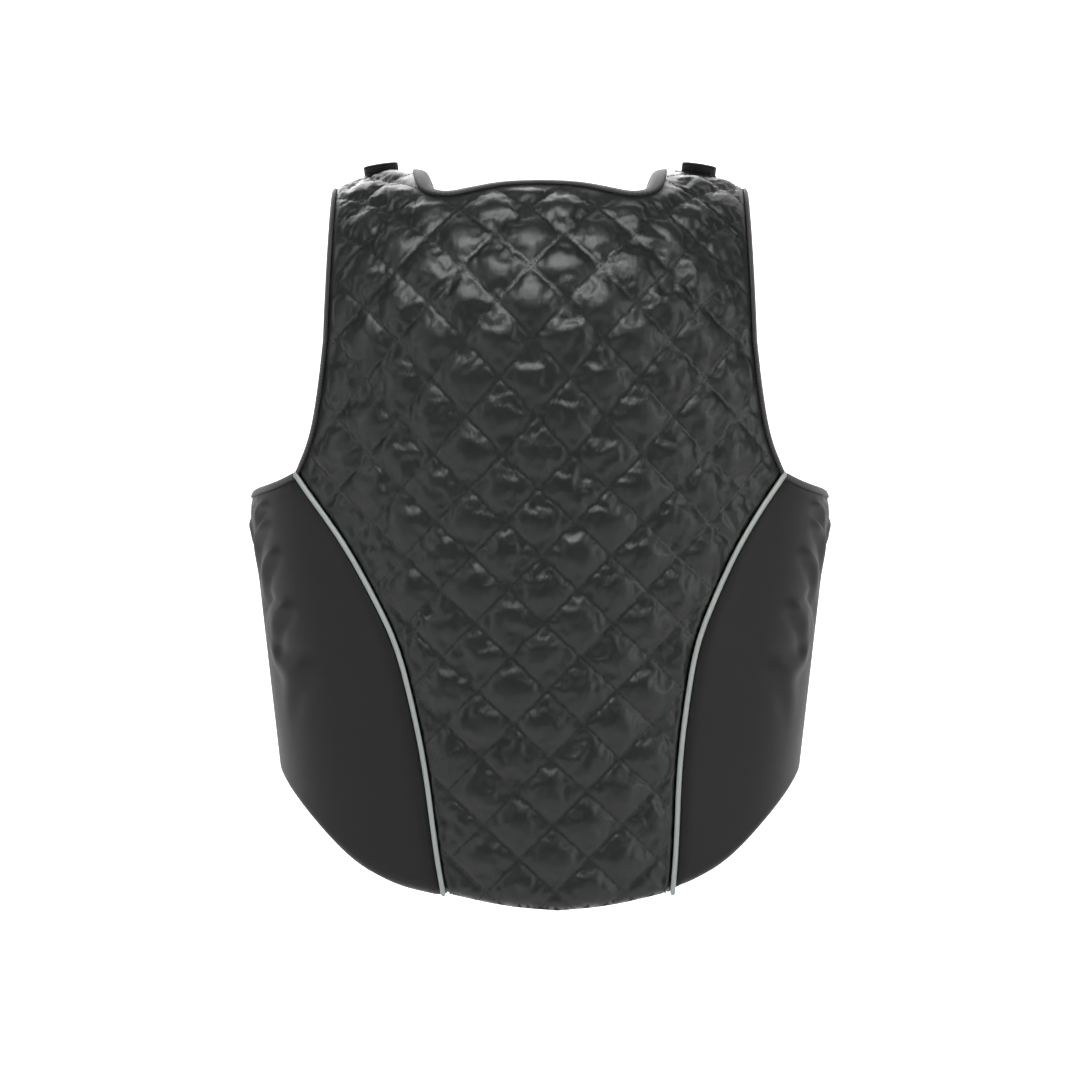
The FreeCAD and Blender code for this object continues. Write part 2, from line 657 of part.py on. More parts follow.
hole.Placement = FreeCAD.Placement(pinPoint, acrossX)
bind(hole, Radius="Sizes.pullerEyeRadius", Height="2 * Sizes.pullerWidth",
     Placement__Base__x="-Sizes.pullerWidth")
puller = doc.addObject("Part::Cut", "zip_puller")
puller.Base = blank
puller.Tool = hole
solo("zip_puller", puller)

# check and write

doc.recompute()
for item in doc.Objects:
    if "Invalid" in item.State or "Error" in item.State:
        raise RuntimeError("%s did not compute: %s" % (item.Label, item.State))
for node in nodes:
    if node.Shape.isNull() or not node.Shape.isValid() or not node.Shape.Solids:
        raise RuntimeError("%s has no valid solid" % node.Label)

os.makedirs("parts", exist_ok=True)
for node in nodes:
    node.Shape.exportStep("parts/%s.step" % node.Label)
    box = node.Shape.BoundBox
    print("%-30s volume %9.1f" % (node.Label, node.Shape.Volume))
    print("    x %7.1f %7.1f  y %7.1f %7.1f  z %7.1f %7.1f"
          % (box.XMin, box.XMax, box.YMin, box.YMax, box.ZMin, box.ZMax))
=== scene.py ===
import math

import bpy
import numpy as np
from mathutils import Matrix, Vector


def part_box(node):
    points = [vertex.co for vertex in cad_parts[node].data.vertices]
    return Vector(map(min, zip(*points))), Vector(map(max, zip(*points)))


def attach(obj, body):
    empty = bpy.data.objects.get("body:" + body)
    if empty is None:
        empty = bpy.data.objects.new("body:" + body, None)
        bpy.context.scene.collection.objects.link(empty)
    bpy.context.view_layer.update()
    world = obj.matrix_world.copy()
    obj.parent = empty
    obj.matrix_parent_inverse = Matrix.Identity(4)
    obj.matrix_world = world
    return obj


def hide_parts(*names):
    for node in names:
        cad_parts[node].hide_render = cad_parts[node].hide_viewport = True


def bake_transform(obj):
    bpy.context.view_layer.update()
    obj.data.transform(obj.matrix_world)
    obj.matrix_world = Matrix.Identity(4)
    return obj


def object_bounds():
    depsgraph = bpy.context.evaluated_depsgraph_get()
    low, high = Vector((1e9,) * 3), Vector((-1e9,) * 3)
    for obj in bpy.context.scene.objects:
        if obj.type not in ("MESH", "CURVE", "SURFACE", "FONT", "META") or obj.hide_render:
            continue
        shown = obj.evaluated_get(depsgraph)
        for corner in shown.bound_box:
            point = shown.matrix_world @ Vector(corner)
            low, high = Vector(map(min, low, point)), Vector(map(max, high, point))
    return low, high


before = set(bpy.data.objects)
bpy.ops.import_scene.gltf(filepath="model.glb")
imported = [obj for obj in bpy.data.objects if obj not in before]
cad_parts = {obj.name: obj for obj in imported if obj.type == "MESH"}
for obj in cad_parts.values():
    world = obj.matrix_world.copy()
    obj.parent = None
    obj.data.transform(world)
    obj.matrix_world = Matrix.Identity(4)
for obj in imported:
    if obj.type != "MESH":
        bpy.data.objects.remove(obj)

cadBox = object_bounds()

# Padded vest, seen from the back. Metres, +Z up, the wearer faces -Y.
mm = 0.001
sides = (("left", 1), ("right", -1))
print("stage: form and pattern")


# form of the body

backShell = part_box("back_quilted_shell")
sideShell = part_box("back_side_shell_left")
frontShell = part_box("front_quilted_shell_left")
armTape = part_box("back_armhole_binding_left")

form = {
    "chestHalfWidth": sideShell[1][0],
    "chestLevel": -233 * mm,
    "bottomHalfWidth": 181.4 * mm,
    "bottomLevel": -560 * mm,
    "bottomHalfDepth": 116.2 * mm,
    "yokeHalfWidth": 205 * mm,
    "yokeHalfDepth": backShell[1][1] + 0.1 * mm,
    "yokeLevel": -115 * mm,
    "domeHeight": 133 * mm,
    "squareness": 0.35,
    "crestThinning": 0.65,
    "domeArc": 210 * mm,
    "padDepth": 17 * mm,
}


def between(low, high, share):
    return low + (high - low) * share


def smoothStep(value):
    value = np.clip(value, 0, 1)
    return value * value * (3 - 2 * value)


def halfDepthAt(level):
    share = (level - form["bottomLevel"]) / (form["yokeLevel"] - form["bottomLevel"])
    return between(form["bottomHalfDepth"], form["yokeHalfDepth"], share)


def halfWidthAt(level):
    low = (level - form["bottomLevel"]) / (form["chestLevel"] - form["bottomLevel"])
    high = (level - form["chestLevel"]) / (form["yokeLevel"] - form["chestLevel"])
    below = between(form["bottomHalfWidth"], form["chestHalfWidth"], low)
    above = between(form["chestHalfWidth"], form["yokeHalfWidth"], high * high)
    return np.where(level < form["chestLevel"], below, above)


def domeLevelAt(x, y, depth):
    # height of the rounded top over a point of the plan, by halving its angle
    low = np.zeros_like(x)
    high = np.full_like(x, math.pi / 2)
    for step in range(36):
        angle = (low + high) / 2
        width = form["yokeHalfWidth"] * np.cos(angle) ** form["squareness"]
        width = width - depth * (1 - form["crestThinning"] * np.sin(angle))
        deep = (form["yokeHalfDepth"] - depth) * np.cos(angle)
        inside = (x / np.maximum(width, 1e-6)) ** 2 + (y / np.maximum(deep, 1e-6)) ** 2 < 1
        low = np.where(inside, angle, low)
        high = np.where(inside, high, angle)
    return form["yokeLevel"] + (form["domeHeight"] - depth) * np.sin(low)


def anglePoint(angle, rise, depth, facing=1):
    # a point at an angle round the body, a rise above the yoke and a depth below the outer face
    angle, rise, depth = (np.atleast_1d(np.asarray(part, float)) for part in (angle, rise, depth))
    angle, rise, depth = np.broadcast_arrays(angle, rise, depth)
    level = form["yokeLevel"] + np.minimum(rise, 0)
    x = (halfWidthAt(level) - depth) * np.sin(angle)
    y = (halfDepthAt(level) - depth) * np.cos(angle)
    over = rise > 0
    y = np.where(over, y * np.cos(np.where(over, rise, 0) / form["domeArc"] * math.pi / 2), y)
    if over.any():
        level = np.where(over, domeLevelAt(x, y, depth), level)
    return np.stack([x, facing * y, level], axis=-1)


def angleAt(x, rise):
    width = halfWidthAt(form["yokeLevel"] + np.minimum(rise, 0))
    return np.arcsin(np.clip(np.asarray(x, float) / width, -1, 1))


def formPoint(x, rise, depth, facing=1):
    return anglePoint(angleAt(x, np.asarray(rise, float)), rise, depth, facing)


def riseAtY(x, y):
    reach = form["yokeHalfDepth"] * math.cos(float(angleAt(x, 0.0)))
    return math.acos(y / reach) / (math.pi / 2) * form["domeArc"]


def riseAtLevel(x, level):
    if level <= form["yokeLevel"]:
        return level - form["yokeLevel"]
    low = 0.0
    high = form["domeArc"]
    for step in range(30):
        rise = (low + high) / 2
        if formPoint(x, rise, 0.0)[0, 2] < level:
            low = rise
        else:
            high = rise
    return low


def onForm(points):
    # (x, level) to (x, rise)
    return [(x, riseAtLevel(x, level)) for x, level in points]


# edges and seams of the pattern

pattern = {
    "armholeLevel": armTape[0][2] + 1.1 * mm,
    "shoulderX": 160 * mm,
    "frontChestX": 154 * mm,
    "neckX": 87 * mm,
    "zipX": 10 * mm,
    "hem": backShell[0][2],
    "hemSide": backShell[0][2] + 92 * mm,
    "frontHem": frontShell[0][2],
    "shoulderEnd": -35 * mm,
    "shoulderGap": 4 * mm,
    "backLean": 0.0458,
}


def chaikin(points, rounds=3):
    # rounds the corners of a line and keeps its ends
    points = np.asarray(points, float)
    for turn in range(rounds):
        first = points[:-1] * 0.75 + points[1:] * 0.25
        second = points[:-1] * 0.25 + points[1:] * 0.75
        middle = np.stack([first, second], axis=1).reshape(-1, points.shape[1])
        points = np.vstack([points[:1], middle, points[-1:]])
    return points


def resampled(points, count):
    points = np.asarray(points, float)
    steps = np.linalg.norm(np.diff(points, axis=0), axis=1)
    along = np.concatenate([[0], np.cumsum(steps)])
    target = np.linspace(0, along[-1], count)
    return np.stack([np.interp(target, along, points[:, axis]) for axis in range(points.shape[1])], axis=1)


def lineLength(points):
    return float(np.linalg.norm(np.diff(np.asarray(points, float), axis=0), axis=1).sum())


def shifted(points, distance):
    # the same line moved to the right of its direction
    points = np.asarray(points, float)
    tangent = np.gradient(points, axis=0)
    tangent /= np.linalg.norm(tangent, axis=1)[:, None]
    return points + distance * np.stack([tangent[:, 1], -tangent[:, 0]], axis=1)


def flipped(points):
    return np.asarray(points, float) * np.array([-1, 1])


def leaned(points, amount):
    # the back panel hangs a little to one side towards its hem
    points = np.asarray(points, float).copy()
    chestRise = form["chestLevel"] - form["yokeLevel"]
    points[:, 0] += amount * np.minimum(points[:, 1] - chestRise, 0)
    return points


hem = pattern["hem"]
hemSide = pattern["hemSide"]
armholeLevel = pattern["armholeLevel"]
neckX = pattern["neckX"]
shoulderX = pattern["shoulderX"]
frontHem = pattern["frontHem"]
frontChestX = pattern["frontChestX"]


def scaledPoints(points, level=0.0):
    return [(x * mm, level + z * mm) for x, z in points]


backHem = scaledPoints([(0, 0), (40, 3), (75, 10), (114, 17), (146, 35), (183, 74), (195, 92)], hem)
frontHemLine = scaledPoints([(10, 0), (60, 1), (120, 7), (195, 20)], frontHem)
backSeam = scaledPoints([(84, 12), (88, 43), (93, 105), (101, 154), (110, 195), (126, 231), (148, 273),
                         (183, 322)], hem)
frontSeam = scaledPoints([(113, 6), (114, 32), (121, 92), (134, 152), (154, 206), (182, 260)], frontHem)
backArmUpper = scaledPoints([(183, 13), (172, 38), (166, 73), (162, 110)], armholeLevel)
backArmLower = scaledPoints([(219, 0), (207, 3), (195, 7), (183, 13)], armholeLevel)
frontArmUpper = scaledPoints([(182, 23), (170, 47), (160, 80), (156, 110)], armholeLevel)
frontArmLower = scaledPoints([(219, 0), (207, 4), (195, 12), (182, 23)], armholeLevel)


def shoulderEdge(startX, waistX, endY):
    end = riseAtY(shoulderX, endY)
    shares = (0.0, 0.25, 0.5, 0.75, 1.0)
    return [(startX + (shoulderX - startX) * share - waistX * math.sin(math.pi * share), end * share)
            for share in shares]


frontShoulderY = pattern["shoulderGap"] - pattern["shoulderEnd"]
backNeck = onForm(scaledPoints([(0, 6), (28, 5), (52, 0), (70, -4), (83, 0)]))
backNeck += [(neckX, form["domeArc"] * 0.92), (neckX, riseAtY(neckX, pattern["shoulderEnd"]))]
frontNeck = onForm(scaledPoints([(10, -113), (38, -108), (62, -87), (78, -58)]))
frontNeck += [(neckX, form["domeArc"] * 0.62), (neckX, riseAtY(neckX, frontShoulderY))]

outlines = {
    "back": {
        "hem": chaikin(onForm(backHem)), "seam": chaikin(onForm(backSeam)),
        "armhole": np.vstack([chaikin(onForm(backArmUpper)),
                              chaikin(shoulderEdge(shoulderX + 2 * mm, 2 * mm, pattern["shoulderEnd"]))[1:]]),
        "armholeLow": chaikin(onForm(backArmLower)), "neck": chaikin(backNeck),
    },
    "front": {
        "hem": chaikin(onForm(frontHemLine)), "seam": chaikin(onForm(frontSeam)),
        "armhole": np.vstack([chaikin(onForm(frontArmUpper)),
                              chaikin(shoulderEdge(frontChestX + 2 * mm, 1 * mm, frontShoulderY))[1:]]),
        "armholeLow": chaikin(onForm(frontArmLower)), "neck": chaikin(frontNeck),
    },
}


# meshes

def makeMesh(name, points, faces, uv=None, smooth=True):
    mesh = bpy.data.meshes.new(name)
    mesh.from_pydata([tuple(point) for point in points], [], [tuple(int(i) for i in face) for face in faces])
    mesh.polygons.foreach_set("use_smooth", [smooth] * len(mesh.polygons))
    if uv is not None:
        layer = mesh.uv_layers.new(name="cloth")
        index = np.zeros(len(mesh.loops), dtype=np.int32)
        mesh.loops.foreach_get("vertex_index", index)
        layer.data.foreach_set("uv", np.asarray(uv, np.float32)[index].ravel())
    mesh.update()
    piece = bpy.data.objects.new(name, mesh)
    bpy.context.scene.collection.objects.link(piece)
    return piece


def insidePolygon(points, polygon):
    x, y = points[:, 0], points[:, 1]
    inside = np.zeros(len(points), bool)
    for (ax, ay), (bx, by) in zip(polygon, np.roll(polygon, -1, axis=0)):
        crosses = (ay > y) != (by > y)
        at = ax + (y - ay) / (by - ay if by != ay else 1e-12) * (bx - ax)
        inside ^= crosses & (x < at)
    return inside


def nearestOnLine(points, line):
    # distance to a polyline and the nearest point of it
    best = np.full(len(points), np.inf)
    nearest = np.zeros_like(points)
    for a, b in zip(line[:-1], line[1:]):
        span = b - a
        share = np.clip(((points - a) @ span) / max(span @ span, 1e-18), 0, 1)
        place = a + share[:, None] * span
        distance = np.linalg.norm(points - place, axis=1)
        closer = distance < best
        best = np.where(closer, distance, best)
        nearest[closer] = place[closer]
    return best, nearest


def gridFaces(columns, rows):
    faces = []
    for column in range(columns - 1):
        for row in range(rows - 1):
            a = column * rows + row
            faces.append((a, a + rows, a + rows + 1, a + 1))
    return faces


def boundaryEdges(faces):
    count = {}
    for face in faces:
        for a, b in zip(face, face[1:] + face[:1]):
            key = (min(a, b), max(a, b))
            count.setdefault(key, []).append((a, b))
    return [uses[0] for uses in count.values() if len(uses) == 1]


def closedPad(name, outer, inner, faces, uv):
    # the outer face, the inner face turned round, and a wall along the edges
    count = len(outer)
    allFaces = [tuple(face) for face in faces]
    allFaces += [tuple(index + count for index in reversed(face)) for face in faces]
    allFaces += [(b, a, a + count, b + count) for a, b in boundaryEdges(faces)]
    return makeMesh(name, np.vstack([outer, inner]), allFaces, np.vstack([uv, uv]))


# quilted panels

quilt = {
    "columnStep": 25.6 * mm,
    "rowStepLow": 24.6 * mm,
    "rowStepHigh": 28.0 * mm,
    "kneeRise": -85.5 * mm,
    "kneeRow": 7.0,
    "centreX": 8.8 * mm,
    "centreRow": 14.0,
    "centreDrift": 1.01 * mm,
    "divisions": 16,
    "puff": 4.2 * mm,
    "stitchDepth": 1.6 * mm,
    "edgeRoll": 4.2 * mm,
    "edgeRollWidth": 13 * mm,
    "bandWidth": 6.0 * mm,
    "neckBandWidth": 9.0 * mm,
    "neckCalm": 17 * mm,
    "neckRoll": 3.2 * mm,
    "seamRoll": 2.4 * mm,
    "seamRollWidth": 9 * mm,
    "simFrames": 26,
    "extraCloth": 0.045,
    "pressure": 3.0,
    "cap": 7 * mm,
}

# arc length across the back for each x, on the chest's ellipse
arcAngles = np.linspace(-1.35, 1.35, 400)
arcX = form["chestHalfWidth"] * np.sin(arcAngles)
arcY = form["yokeHalfDepth"] * np.cos(arcAngles)
arcLengths = np.concatenate([[0], np.cumsum(np.hypot(np.diff(arcX), np.diff(arcY)))])
arcLengths -= np.interp(0.0, arcX, arcLengths)


def rowAt(rise):
    step = np.where(rise > quilt["kneeRise"], quilt["rowStepHigh"], quilt["rowStepLow"])
    return quilt["kneeRow"] + (rise - quilt["kneeRise"]) / step


def riseAtRow(row):
    step = np.where(row > quilt["kneeRow"], quilt["rowStepHigh"], quilt["rowStepLow"])
    return quilt["kneeRise"] + (row - quilt["kneeRow"]) * step


def latticeToForm(i, j, drift):
    # lattice column and row to (x, rise); a crossing has whole i and j with an even sum
    centre = (quilt["centreX"] - quilt["centreDrift"] * (quilt["centreRow"] - j)) * drift
    arc = centre - i * quilt["columnStep"]
    return np.stack([np.interp(arc, arcLengths, arcX), riseAtRow(j)], axis=-1)


def quiltMesh(outline, drift):
    # a mesh whose lines follow the diamonds, cut to an outline and drawn to its edge
    n = quilt["divisions"]
    low = outline.min(axis=0)
    high = outline.max(axis=0)
    rows = rowAt(np.array([low[1], high[1]]))
    columns = 10
    first = int(math.floor((rows[0] - columns) / 2)) - 1
    last = int(math.ceil((rows[1] + columns) / 2)) + 1
    ticks = np.arange(first * n, last * n + 1)
    p, q = np.meshgrid(ticks, np.arange(-last * n, -first * n + 1), indexing="ij")
    # p = (i + j) / 2 and q = (i - j) / 2 in whole diamonds
    i = (p + q) / n
    j = (p - q) / n
    flat = latticeToForm(i, j, drift)
    near = (flat[..., 0] > low[0] - 5 * mm) & (flat[..., 0] < high[0] + 5 * mm)
    near &= (flat[..., 1] > low[1] - 5 * mm) & (flat[..., 1] < high[1] + 5 * mm)
    cell = (flat[:-1, :-1] + flat[1:, 1:]) / 2
    keep = near[:-1, :-1] & near[1:, 1:] & near[1:, :-1] & near[:-1, 1:]
    keep[keep] = insidePolygon(cell[keep], outline)
    a, b = np.nonzero(keep)
    corners = [(a, b), (a + 1, b), (a + 1, b + 1), (a, b + 1)]
    width = p.shape[1]
    raw = np.stack([c[0] * width + c[1] for c in corners], axis=1)
    used, faces = np.unique(raw, return_inverse=True)
    faces = faces.reshape(-1, 4)
    places = flat.reshape(-1, 2)[used]
    onP = p.reshape(-1)[used] % n == 0
    onQ = q.reshape(-1)[used] % n == 0
    grid = np.stack([p.reshape(-1)[used], q.reshape(-1)[used]], axis=1)
    faces = [tuple(int(index) for index in face) for face in faces]
    edge = sorted({index for pair in boundaryEdges(faces) for index in pair})
    outside = np.nonzero(~insidePolygon(places, outline))[0]
    moved = np.array(sorted(set(edge) | set(outside.tolist())))
    closed = np.vstack([outline, outline[:1]])
    places[moved] = nearestOnLine(places[moved], closed)[1]
    return places, faces, grid, onP, onQ, np.isin(np.arange(len(places)), moved)


def rollDepths(places, rolls):
    # how far the outer face sinks and the inner face rises near each edge
    out = np.zeros(len(places))
    inward = np.zeros(len(places))
    for line, outRoll, inRoll, width in rolls:
        distance = nearestOnLine(places, line)[0]
        curve = 1 - np.sqrt(np.clip(1 - (1 - np.clip(distance / width, 0, 1)) ** 2, 0, 1))
        out = np.maximum(out, outRoll * curve)
        inward = np.maximum(inward, inRoll * curve)
    return out, inward


def simulateCloth(name, points, faces, pinned, settings):
    # loose cloth held along its stitches and pushed out by the filling
    piece = makeMesh(name + "_sim", points, faces)
    pins = piece.vertex_groups.new(name="pins")
    pins.add([int(index) for index in np.nonzero(pinned)[0]], 1.0, "REPLACE")
    modifier = piece.modifiers.new("cloth", "CLOTH")
    cloth = modifier.settings
    cloth.quality = settings["quality"]
    cloth.mass = 0.12
    cloth.air_damping = 3.0
    cloth.tension_stiffness = settings["tension"]
    cloth.compression_stiffness = settings["tension"]
    cloth.shear_stiffness = settings["shear"]
    cloth.bending_stiffness = settings["bending"]
    cloth.tension_damping = 12
    cloth.compression_damping = 12
    cloth.shear_damping = 12
    cloth.bending_damping = 0.5
    cloth.use_pressure = True
    cloth.uniform_pressure_force = settings["pressure"]
    cloth.vertex_group_mass = "pins"
    cloth.pin_stiffness = 1.0
    cloth.shrink_min = -settings["extraCloth"]
    cloth.effector_weights.gravity = 0.0
    modifier.collision_settings.use_collision = False
    modifier.collision_settings.use_self_collision = False
    modifier.point_cache.frame_start = 1
    modifier.point_cache.frame_end = settings["frames"]
    scene = bpy.context.scene
    for step in range(1, settings["frames"] + 1):
        scene.frame_set(step)
    evaluated = piece.evaluated_get(bpy.context.evaluated_depsgraph_get())
    result = np.zeros(len(points) * 3)
    evaluated.data.vertices.foreach_get("co", result)
    bpy.data.objects.remove(piece, do_unlink=True)
    scene.frame_set(1)
    return result.reshape(-1, 3)


def quiltDepth(grid, n, height, sharp=0.55):
    # a simple puffed diamond, zero along the stitches
    p = (grid[:, 0] % n) / n
    q = (grid[:, 1] % n) / n
    return height * (np.sin(math.pi * p) * np.sin(math.pi * q)) ** sharp


# how far in from a bound edge the pads stay flat, and over what width they then rise
calmEdges = {quilt["edgeRoll"]: (quilt["bandWidth"], 5 * mm),
             quilt["neckRoll"]: (quilt["neckBandWidth"], quilt["neckCalm"])}


def makeQuiltPanel(name, outline, rolls, facing, drift, mirror=False):
    places, faces, grid, onP, onQ, atEdge = quiltMesh(outline, drift)
    if mirror:
        places = flipped(places)
    out, inward = rollDepths(places, rolls)
    stitched = onP | onQ
    edgeShare = np.ones(len(places))
    for line, outRoll, inRoll, width in rolls:
        calm, fade = calmEdges.get(outRoll, (1.5 * mm, 5 * mm))
        edgeShare = np.minimum(edgeShare, smoothStep((nearestOnLine(places, line)[0] - calm) / fade))
    base = out + quilt["stitchDepth"] * edgeShare
    puff = quiltDepth(grid, quilt["divisions"], quilt["puff"]) * edgeShare
    turned = (facing < 0) != mirror
    if not turned:
        faces = [tuple(reversed(face)) for face in faces]
    noise = np.random.default_rng(7).normal(0, 0.12 * mm, len(places)) * ~stitched
    start = formPoint(places[:, 0], places[:, 1], base - puff * 0.55 + noise, facing)
    settings = {"quality": 5, "tension": 12, "shear": 4, "bending": 0.02, "pressure": quilt["pressure"],
                "extraCloth": quilt["extraCloth"], "frames": quilt["simFrames"]}
    outer = simulateCloth(name, start, faces, stitched | atEdge, settings)
    move = outer - start
    length = np.linalg.norm(move, axis=1)
    share = edgeShare * np.minimum(1, quilt["cap"] / np.maximum(length, 1e-9))
    outer = start + move * share[:, None]
    inner = formPoint(places[:, 0], places[:, 1], form["padDepth"] - inward, facing)
    uv = np.stack([np.interp(places[:, 0], arcX, arcLengths), places[:, 1]], axis=1) / (10 * mm)
    piece = closedPad(name, outer, inner, faces, uv)
    lines = stitchLines(outer, grid, onP, onQ, atEdge)
    print("quilted panel", name, len(places), "points", len(lines), "stitch lines")
    return piece, lines


def stitchLines(points, grid, onP, onQ, atEdge):
    # chains of mesh points along each stitched line
    lines = []
    for along, mask in ((0, onP), (1, onQ)):
        chosen = np.nonzero(mask & ~atEdge)[0]
        order = chosen[np.lexsort((grid[chosen, 1 - along], grid[chosen, along]))]
        run = []
        for index in order:
            follows = run and grid[run[-1], along] == grid[index, along] \
                and grid[index, 1 - along] - grid[run[-1], 1 - along] == 1
            if not follows:
                if len(run) > 4:
                    lines.append(points[run])
                run = []
            run.append(index)
        if len(run) > 4:
            lines.append(points[run])
    return lines


# materials

def srgb(code):
    parts = [int(code[index:index + 2], 16) / 255 for index in (1, 3, 5)]
    linear = [part / 12.92 if part <= 0.04045 else ((part + 0.055) / 1.055) ** 2.4 for part in parts]
    return tuple(linear) + (1.0,)


def addNode(tree, kind, settings=None, values=None, links=None):
    # one node with its settings, its socket values and its incoming links
    node = tree.nodes.new(kind)
    for key, value in (settings or {}).items():
        setattr(node, key, value)
    for key, value in (values or {}).items():
        node.inputs[key].default_value = value
    for key, source in (links or {}).items():
        tree.links.new(source, node.inputs[key])
    return node


def newMaterial(name, shader):
    # one shader and its output, with the constant values on the shader itself
    material = bpy.data.materials.new(name)
    material.use_nodes = True
    tree = material.node_tree
    tree.nodes.clear()
    bsdf = addNode(tree, "ShaderNodeBsdfPrincipled", values=shader)
    output = addNode(tree, "ShaderNodeOutputMaterial")
    tree.links.new(bsdf.outputs["BSDF"], output.inputs["Surface"])
    return material, tree, bsdf


def mixColours(tree, factor, first, second):
    node = addNode(tree, "ShaderNodeMix", {"data_type": "RGBA"})
    tree.links.new(factor, node.inputs["Factor"])
    node.inputs["A"].default_value = srgb(first)
    node.inputs["B"].default_value = srgb(second)
    return node.outputs["Result"]


def wovenCloth(name, dark, light, threadMm, bump, roughness, sheen, rib=1.0, specular=0.5, onObject=False):
    # plain weave: warp and weft ridges on the cloth's own map, with slow uneven patches
    material, tree, bsdf = newMaterial(name, {"Roughness": roughness,
                                              "Sheen Weight": sheen, "Sheen Roughness": 0.4,
                                              "Specular IOR Level": specular, "IOR": 1.5})
    if onObject:
        place = addNode(tree, "ShaderNodeTexCoord")
        uv = addNode(tree, "ShaderNodeMapping", values={"Scale": (100, 100, 100)},
                     links={"Vector": place.outputs["Object"]})
    else:
        uv = addNode(tree, "ShaderNodeUVMap", {"uv_map": "cloth"})
    wobble = {"Distortion": 0.6, "Detail": 1.0, "Detail Scale": 2.0}
    warp = addNode(tree, "ShaderNodeTexWave", {"bands_direction": "X"},
                   {"Scale": 10 / threadMm / 20 * 2 * math.pi, **wobble}, {"Vector": uv.outputs[0]})
    weft = addNode(tree, "ShaderNodeTexWave", {"bands_direction": "Y"},
                   {"Scale": 10 / threadMm / 20 * 2 * math.pi * rib, **wobble}, {"Vector": uv.outputs[0]})
    threads = addNode(tree, "ShaderNodeMath", {"operation": "MULTIPLY"},
                      links={0: warp.outputs["Fac"], 1: weft.outputs["Fac"]})
    patches = addNode(tree, "ShaderNodeTexNoise", values={"Scale": 0.22, "Detail": 4.0, "Roughness": 0.55},
                      links={"Vector": uv.outputs[0]})
    mixed = addNode(tree, "ShaderNodeMath", {"operation": "MULTIPLY_ADD"}, {1: 0.5, 2: 0.0},
                    {0: patches.outputs["Fac"]})
    tone = addNode(tree, "ShaderNodeMath", {"operation": "MULTIPLY_ADD"}, {1: 0.5},
                   {0: threads.outputs[0], 2: mixed.outputs[0]})
    colour = mixColours(tree, tone.outputs[0], dark, light)
    tree.links.new(colour, bsdf.inputs["Base Color"])
    gloss = addNode(tree, "ShaderNodeMapRange",
                    values={"To Min": roughness - 0.05, "To Max": roughness + 0.08},
                    links={"Value": patches.outputs["Fac"]})
    tree.links.new(gloss.outputs[0], bsdf.inputs["Roughness"])
    ridge = addNode(tree, "ShaderNodeBump", values={"Strength": bump, "Distance": 0.0003},
                    links={"Height": threads.outputs[0]})
    tree.links.new(ridge.outputs[0], bsdf.inputs["Normal"])
    return material


# smooth filament nylon: soft shine on every pad, nearly black in the hollows
satinNylon = wovenCloth("satin nylon, quilted", "#0e1210", "#1a1f1c", 0.9, 0.25, 0.33, 0.0, specular=0.55)
# plain nylon without finish: an even dark surface that lets the folds show
mattNylon = wovenCloth("plain nylon, side panels", "#0f0d0f", "#191719", 0.7, 0.22, 0.5, 0.0, specular=0.35)
# knit: coarse loops and no shine
liningCloth = wovenCloth("knitted lining", "#0f0f10", "#1c1c1e", 1.8, 0.5, 0.75, 0.1)
# ribbed tape: fine cross ribs that read as a dull grey edge
bindingTape = wovenCloth("ribbed binding tape", "#1e1c1d", "#403c3d", 0.9, 0.6, 0.6, 0.15, rib=0.35)
# woven webbing: dense black with a clear weave
strapWebbing = wovenCloth("strap webbing", "#0b0b0c", "#1b1b1d", 1.3, 0.7, 0.6, 0.1)
# reflective cord cover: pale grey with a bright shine
pipingCloth = wovenCloth("reflective piping", "#8a918c", "#b3b9b5", 0.5, 0.2, 0.38, 0.0, specular=0.8)
# twisted polyester: small dark points along the seams
stitchThread = newMaterial("polyester thread", {"Base Color": srgb("#101211"), "Roughness": 0.55})[0]


# panels

def polygonOf(parts):
    points = np.vstack(parts)
    steps = np.linalg.norm(np.diff(points, axis=0), axis=1)
    return points[np.concatenate([[True], steps > 1e-6])]


def halfOutline(half):
    # from the middle of the hem outwards and up to the neck
    shape = outlines[half]
    seam = shifted(shape["seam"], -seamInset)
    arm = shifted(shape["armhole"], -edgeInset)
    neck = shifted(shape["neck"], edgeInset)[::-1]
    hemLine = shape["hem"]
    hemLine = hemLine[hemLine[:, 0] < seam[0, 0]]
    arm = arm[arm[:, 1] > seam[-1, 1]]
    return {"hem": np.vstack([hemLine, seam[:1]]), "seam": seam, "arm": np.vstack([seam[-1:], arm]),
            "end": np.stack([arm[-1], neck[0]]), "neck": neck}


edgeInset = 0.6 * mm
seamInset = 1.2 * mm

print("stage: back quilted panel")
right = halfOutline("back")
leftSide = {key: flipped(line) for key, line in right.items()}
lean = pattern["backLean"]
backOutline = polygonOf([leaned(right["hem"], lean), leaned(right["seam"], lean), right["arm"], right["end"],
                         right["neck"], leftSide["neck"][::-1], leftSide["end"][::-1], leftSide["arm"][::-1],
                         leaned(leftSide["seam"], lean)[::-1], leaned(leftSide["hem"], lean)[::-1]])
half = form["padDepth"] / 2
backRolls = []
for part in (right, leftSide):
    backRolls.append((part["arm"], quilt["edgeRoll"], 4 * mm, quilt["edgeRollWidth"]))
    backRolls.append((part["neck"], quilt["neckRoll"], 4 * mm, quilt["edgeRollWidth"]))
    backRolls.append((leaned(part["seam"], lean), quilt["seamRoll"], 0.0, quilt["seamRollWidth"]))
    backRolls.append((leaned(part["hem"], lean), half, half, 9 * mm))
    backRolls.append((part["end"], half, half, 9 * mm))
backPanel, backStitches = makeQuiltPanel("back_quilted_panel", backOutline, backRolls, 1, 1.0)
backPanel.data.materials.append(satinNylon)
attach(backPanel, "back")
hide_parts("back_quilted_shell", "back_foam_core")


# side panels

